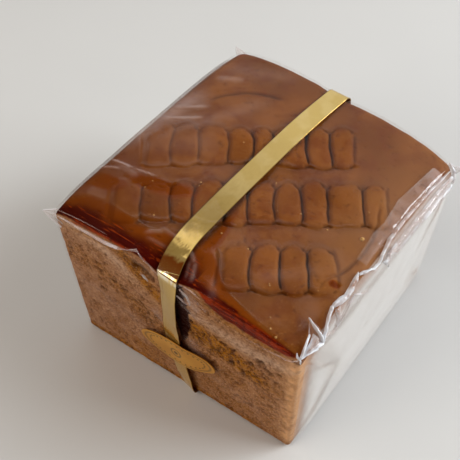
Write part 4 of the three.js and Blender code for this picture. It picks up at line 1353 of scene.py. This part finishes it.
def make_seal(look):
    """A thin oval plate. Its front is a polar grid with a rim line, a ring of dots and a small ring in
    the middle, each a little proud. Its ends curl off the wrap, and its right half bends back to it."""
    radial = np.linspace(0, 1, SEAL_RINGS)[:, None]
    angle = np.linspace(0, 2 * math.pi, SEAL_STEPS, endpoint=False)[None, :]
    x = radial * np.cos(angle) * SEAL_LENGTH / 2
    z = radial * np.sin(angle) * SEAL_HEIGHT / 2
    inset = (1 - radial) * SEAL_HEIGHT / 2 + 0 * angle
    rim = 0.8 * bell(inset - 0.9, 0.2)
    dots = 0 * rim
    for k in range(SEAL_DOTS):
        turn = 2 * math.pi * k / SEAL_DOTS
        dot_x = DOT_PLACE * math.cos(turn) * SEAL_LENGTH / 2
        dot_z = DOT_PLACE * math.sin(turn) * SEAL_HEIGHT / 2
        dots = np.maximum(dots, smoothstep(0.5 - np.hypot(x - dot_x, z - dot_z), 0, 0.14))
    from_middle = np.hypot(x, z)
    ring = np.maximum(bell(from_middle - 2.4, 0.35), smoothstep(1.2 - from_middle, 0, 0.3))
    ink = np.maximum.reduce([rim, dots, ring])
    curl = 0.9 * np.abs(x / (SEAL_LENGTH / 2)) ** 3.2
    bend = 2.5 * smoothstep(x, 3, SEAL_LENGTH / 2) - 0.35 * curl
    front = np.stack([x, bend - SEAL_THICKNESS / 2 - 0.05 * ink, z], -1)
    rear = np.stack([x, bend + SEAL_THICKNESS / 2, z], -1)[::-1]
    points = np.concatenate([front, rear])
    turn = Matrix.Rotation(SEAL_LEAN, 3, "Z") @ Matrix.Rotation(-SEAL_TILT, 3, "Y")
    points = points @ np.array(turn).T + SEAL_PLACE
    faces = grid_faces(len(points), SEAL_STEPS, wrap_columns=True, flip=True)
    marks = {"ink": np.concatenate([ink, 0 * ink])}
    return mesh_piece("oval_seal", points, faces, look, marks)


# ---------------------------------------------------------------- the studio

CAMERA_PLACE = Vector((118.99, -181.46, 344.15)) * 0.001
CAMERA_AZIMUTH = math.radians(36.51)
CAMERA_ELEVATION = math.radians(53.59)
CAMERA_ROLL = math.radians(-0.135)
CAMERA_LENS = 67.2
FLOOR_HALF = 3.0  # metres


def make_camera():
    """The photograph's view: from the front right, well above the loaf."""
    data = bpy.data.cameras.new("camera")
    data.sensor_width = 36
    data.lens = CAMERA_LENS
    data.clip_start = 0.01
    data.clip_end = 20
    camera = add_object("camera", data)
    turn = Matrix.Rotation(CAMERA_AZIMUTH, 4, "Z")
    tilt = Matrix.Rotation(math.pi / 2 - CAMERA_ELEVATION, 4, "X")
    roll = Matrix.Rotation(CAMERA_ROLL, 4, "Z")
    camera.matrix_world = Matrix.Translation(CAMERA_PLACE) @ turn @ tilt @ roll
    bpy.context.scene.camera = camera


def make_floor():
    """A wide plain floor, which is not part of the object."""
    mesh = bpy.data.meshes.new("floor")
    corners = [(x * FLOOR_HALF, y * FLOOR_HALF, 0) for x, y in ((-1, -1), (1, -1), (1, 1), (-1, 1))]
    mesh.from_pydata(corners, [], [(0, 1, 2, 3)])
    mesh.materials.append(floor_look())
    add_object("floor", mesh)


def make_room():
    """The light of a pale room: bright towards the back, with a brighter patch high up at the left,
    dark and warm on the front side, and grey from below. The camera sees a plain grey in its place."""
    world = bpy.data.worlds.new("room")
    world.use_nodes = True
    bpy.context.scene.world = world
    look = Look("room", world.node_tree)
    way = look.node("ShaderNodeTexCoord", output="Generated")
    x, y, z = (look.node("ShaderNodeSeparateXYZ", None, {0: way}, output=axis) for axis in "XYZ")
    low = y.ramp(-0.04, 0.08)
    back = y.ramp(0.34, 0.66)
    patch = y.ramp(0.17, 0.24) * (1 - y.ramp(0.3, 0.42)) * z.ramp(0.5, 0.75) * (1 - x.ramp(-0.2, 0.05))
    above = z.ramp(-0.15, 0.1)
    ray = look.node("ShaderNodeLightPath", output="Is Camera Ray")
    colour = look.mix(low, (0.12, 0.035, 0.008, 1), (0.28, 0.25, 0.2, 1))
    colour = look.mix(back, colour, (0.7, 0.71, 0.72, 1))
    colour = look.mix(patch, colour, (0.94, 0.91, 0.85, 1))
    colour = look.mix(above, (0.4, 0.38, 0.35, 1), colour)
    colour = look.mix(ray, colour, (0.62, 0.62, 0.61, 1))
    background = look.node("ShaderNodeBackground", None, {"Color": colour, "Strength": 1.0})
    look.finish(background, "ShaderNodeOutputWorld")


def area_light(name, place, target, size, power, colour, glossy=True):
    """A square soft light that faces a target."""
    data = bpy.data.lights.new(name, "AREA")
    data.shape = "SQUARE"
    data.size = size
    data.energy = power
    data.color = colour
    light = add_object(name, data)
    aim = Vector(target) - Vector(place)
    light.matrix_world = Matrix.Translation(place) @ aim.to_track_quat("-Z", "Y").to_matrix().to_4x4()
    light.visible_glossy = glossy
    light.visible_camera = False


def make_lights():
    """A large window behind on the right, a small one beside it that glints in the film, another
    glint from the front left, and a wide fill from there."""
    area_light("window", (1.0, 0.75, 0.85), (0, 0, 0.04), 1.0, 22, (0.96, 0.98, 1.0), False)
    area_light("window_glint", (0.75, 0.85, 0.5), (0, 0, 0.06), 0.35, 4, (0.86, 0.94, 1.0))
    area_light("front_glint", (-0.46, -0.96, 0.6), (0, -0.05, 0.08), 0.5, 1.6, (1.0, 0.95, 0.85))
    area_light("fill", (-0.6, -0.9, 1.1), (0, 0, 0.04), 1.4, 11.5, (1.0, 0.95, 0.88), False)


# ---------------------------------------------------------------- the scene

make_camera()
make_floor()
make_room()
make_lights()

baked = baked_look()
film = film_look("clear film", 1, 0.09)
end_film = film_look("end film", 2, 0.12, 4.5, CREAMY, 0.3)
folded_film = film_look("folded film", 4, 0.2, 4.5, CREAMY, 0.3)
gathered_film = film_look("gathered film", 2, 0.12)

crust_piece = make_crust(baked)
make_crumb(baked)
make_sleeve(film)
for end_name, end_side in (("film_end_right", 1), ("film_end_left", -1)):
    make_end_skin(end_name, end_side, end_film)
    make_flaps(end_name.replace("end", "flaps"), end_side, folded_film)
make_strands(gathered_film)
make_ears(gathered_film)
make_crumbs(crumb_look())
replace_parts(crust_piece, "wrapped_loaf")
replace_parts(make_ribbon(gold_look()), "ribbon")
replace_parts(make_seal(foil_look()), "seal_sticker")

scene = bpy.context.scene
scene.view_settings.view_transform = "Standard"
scene.view_settings.look = "None"
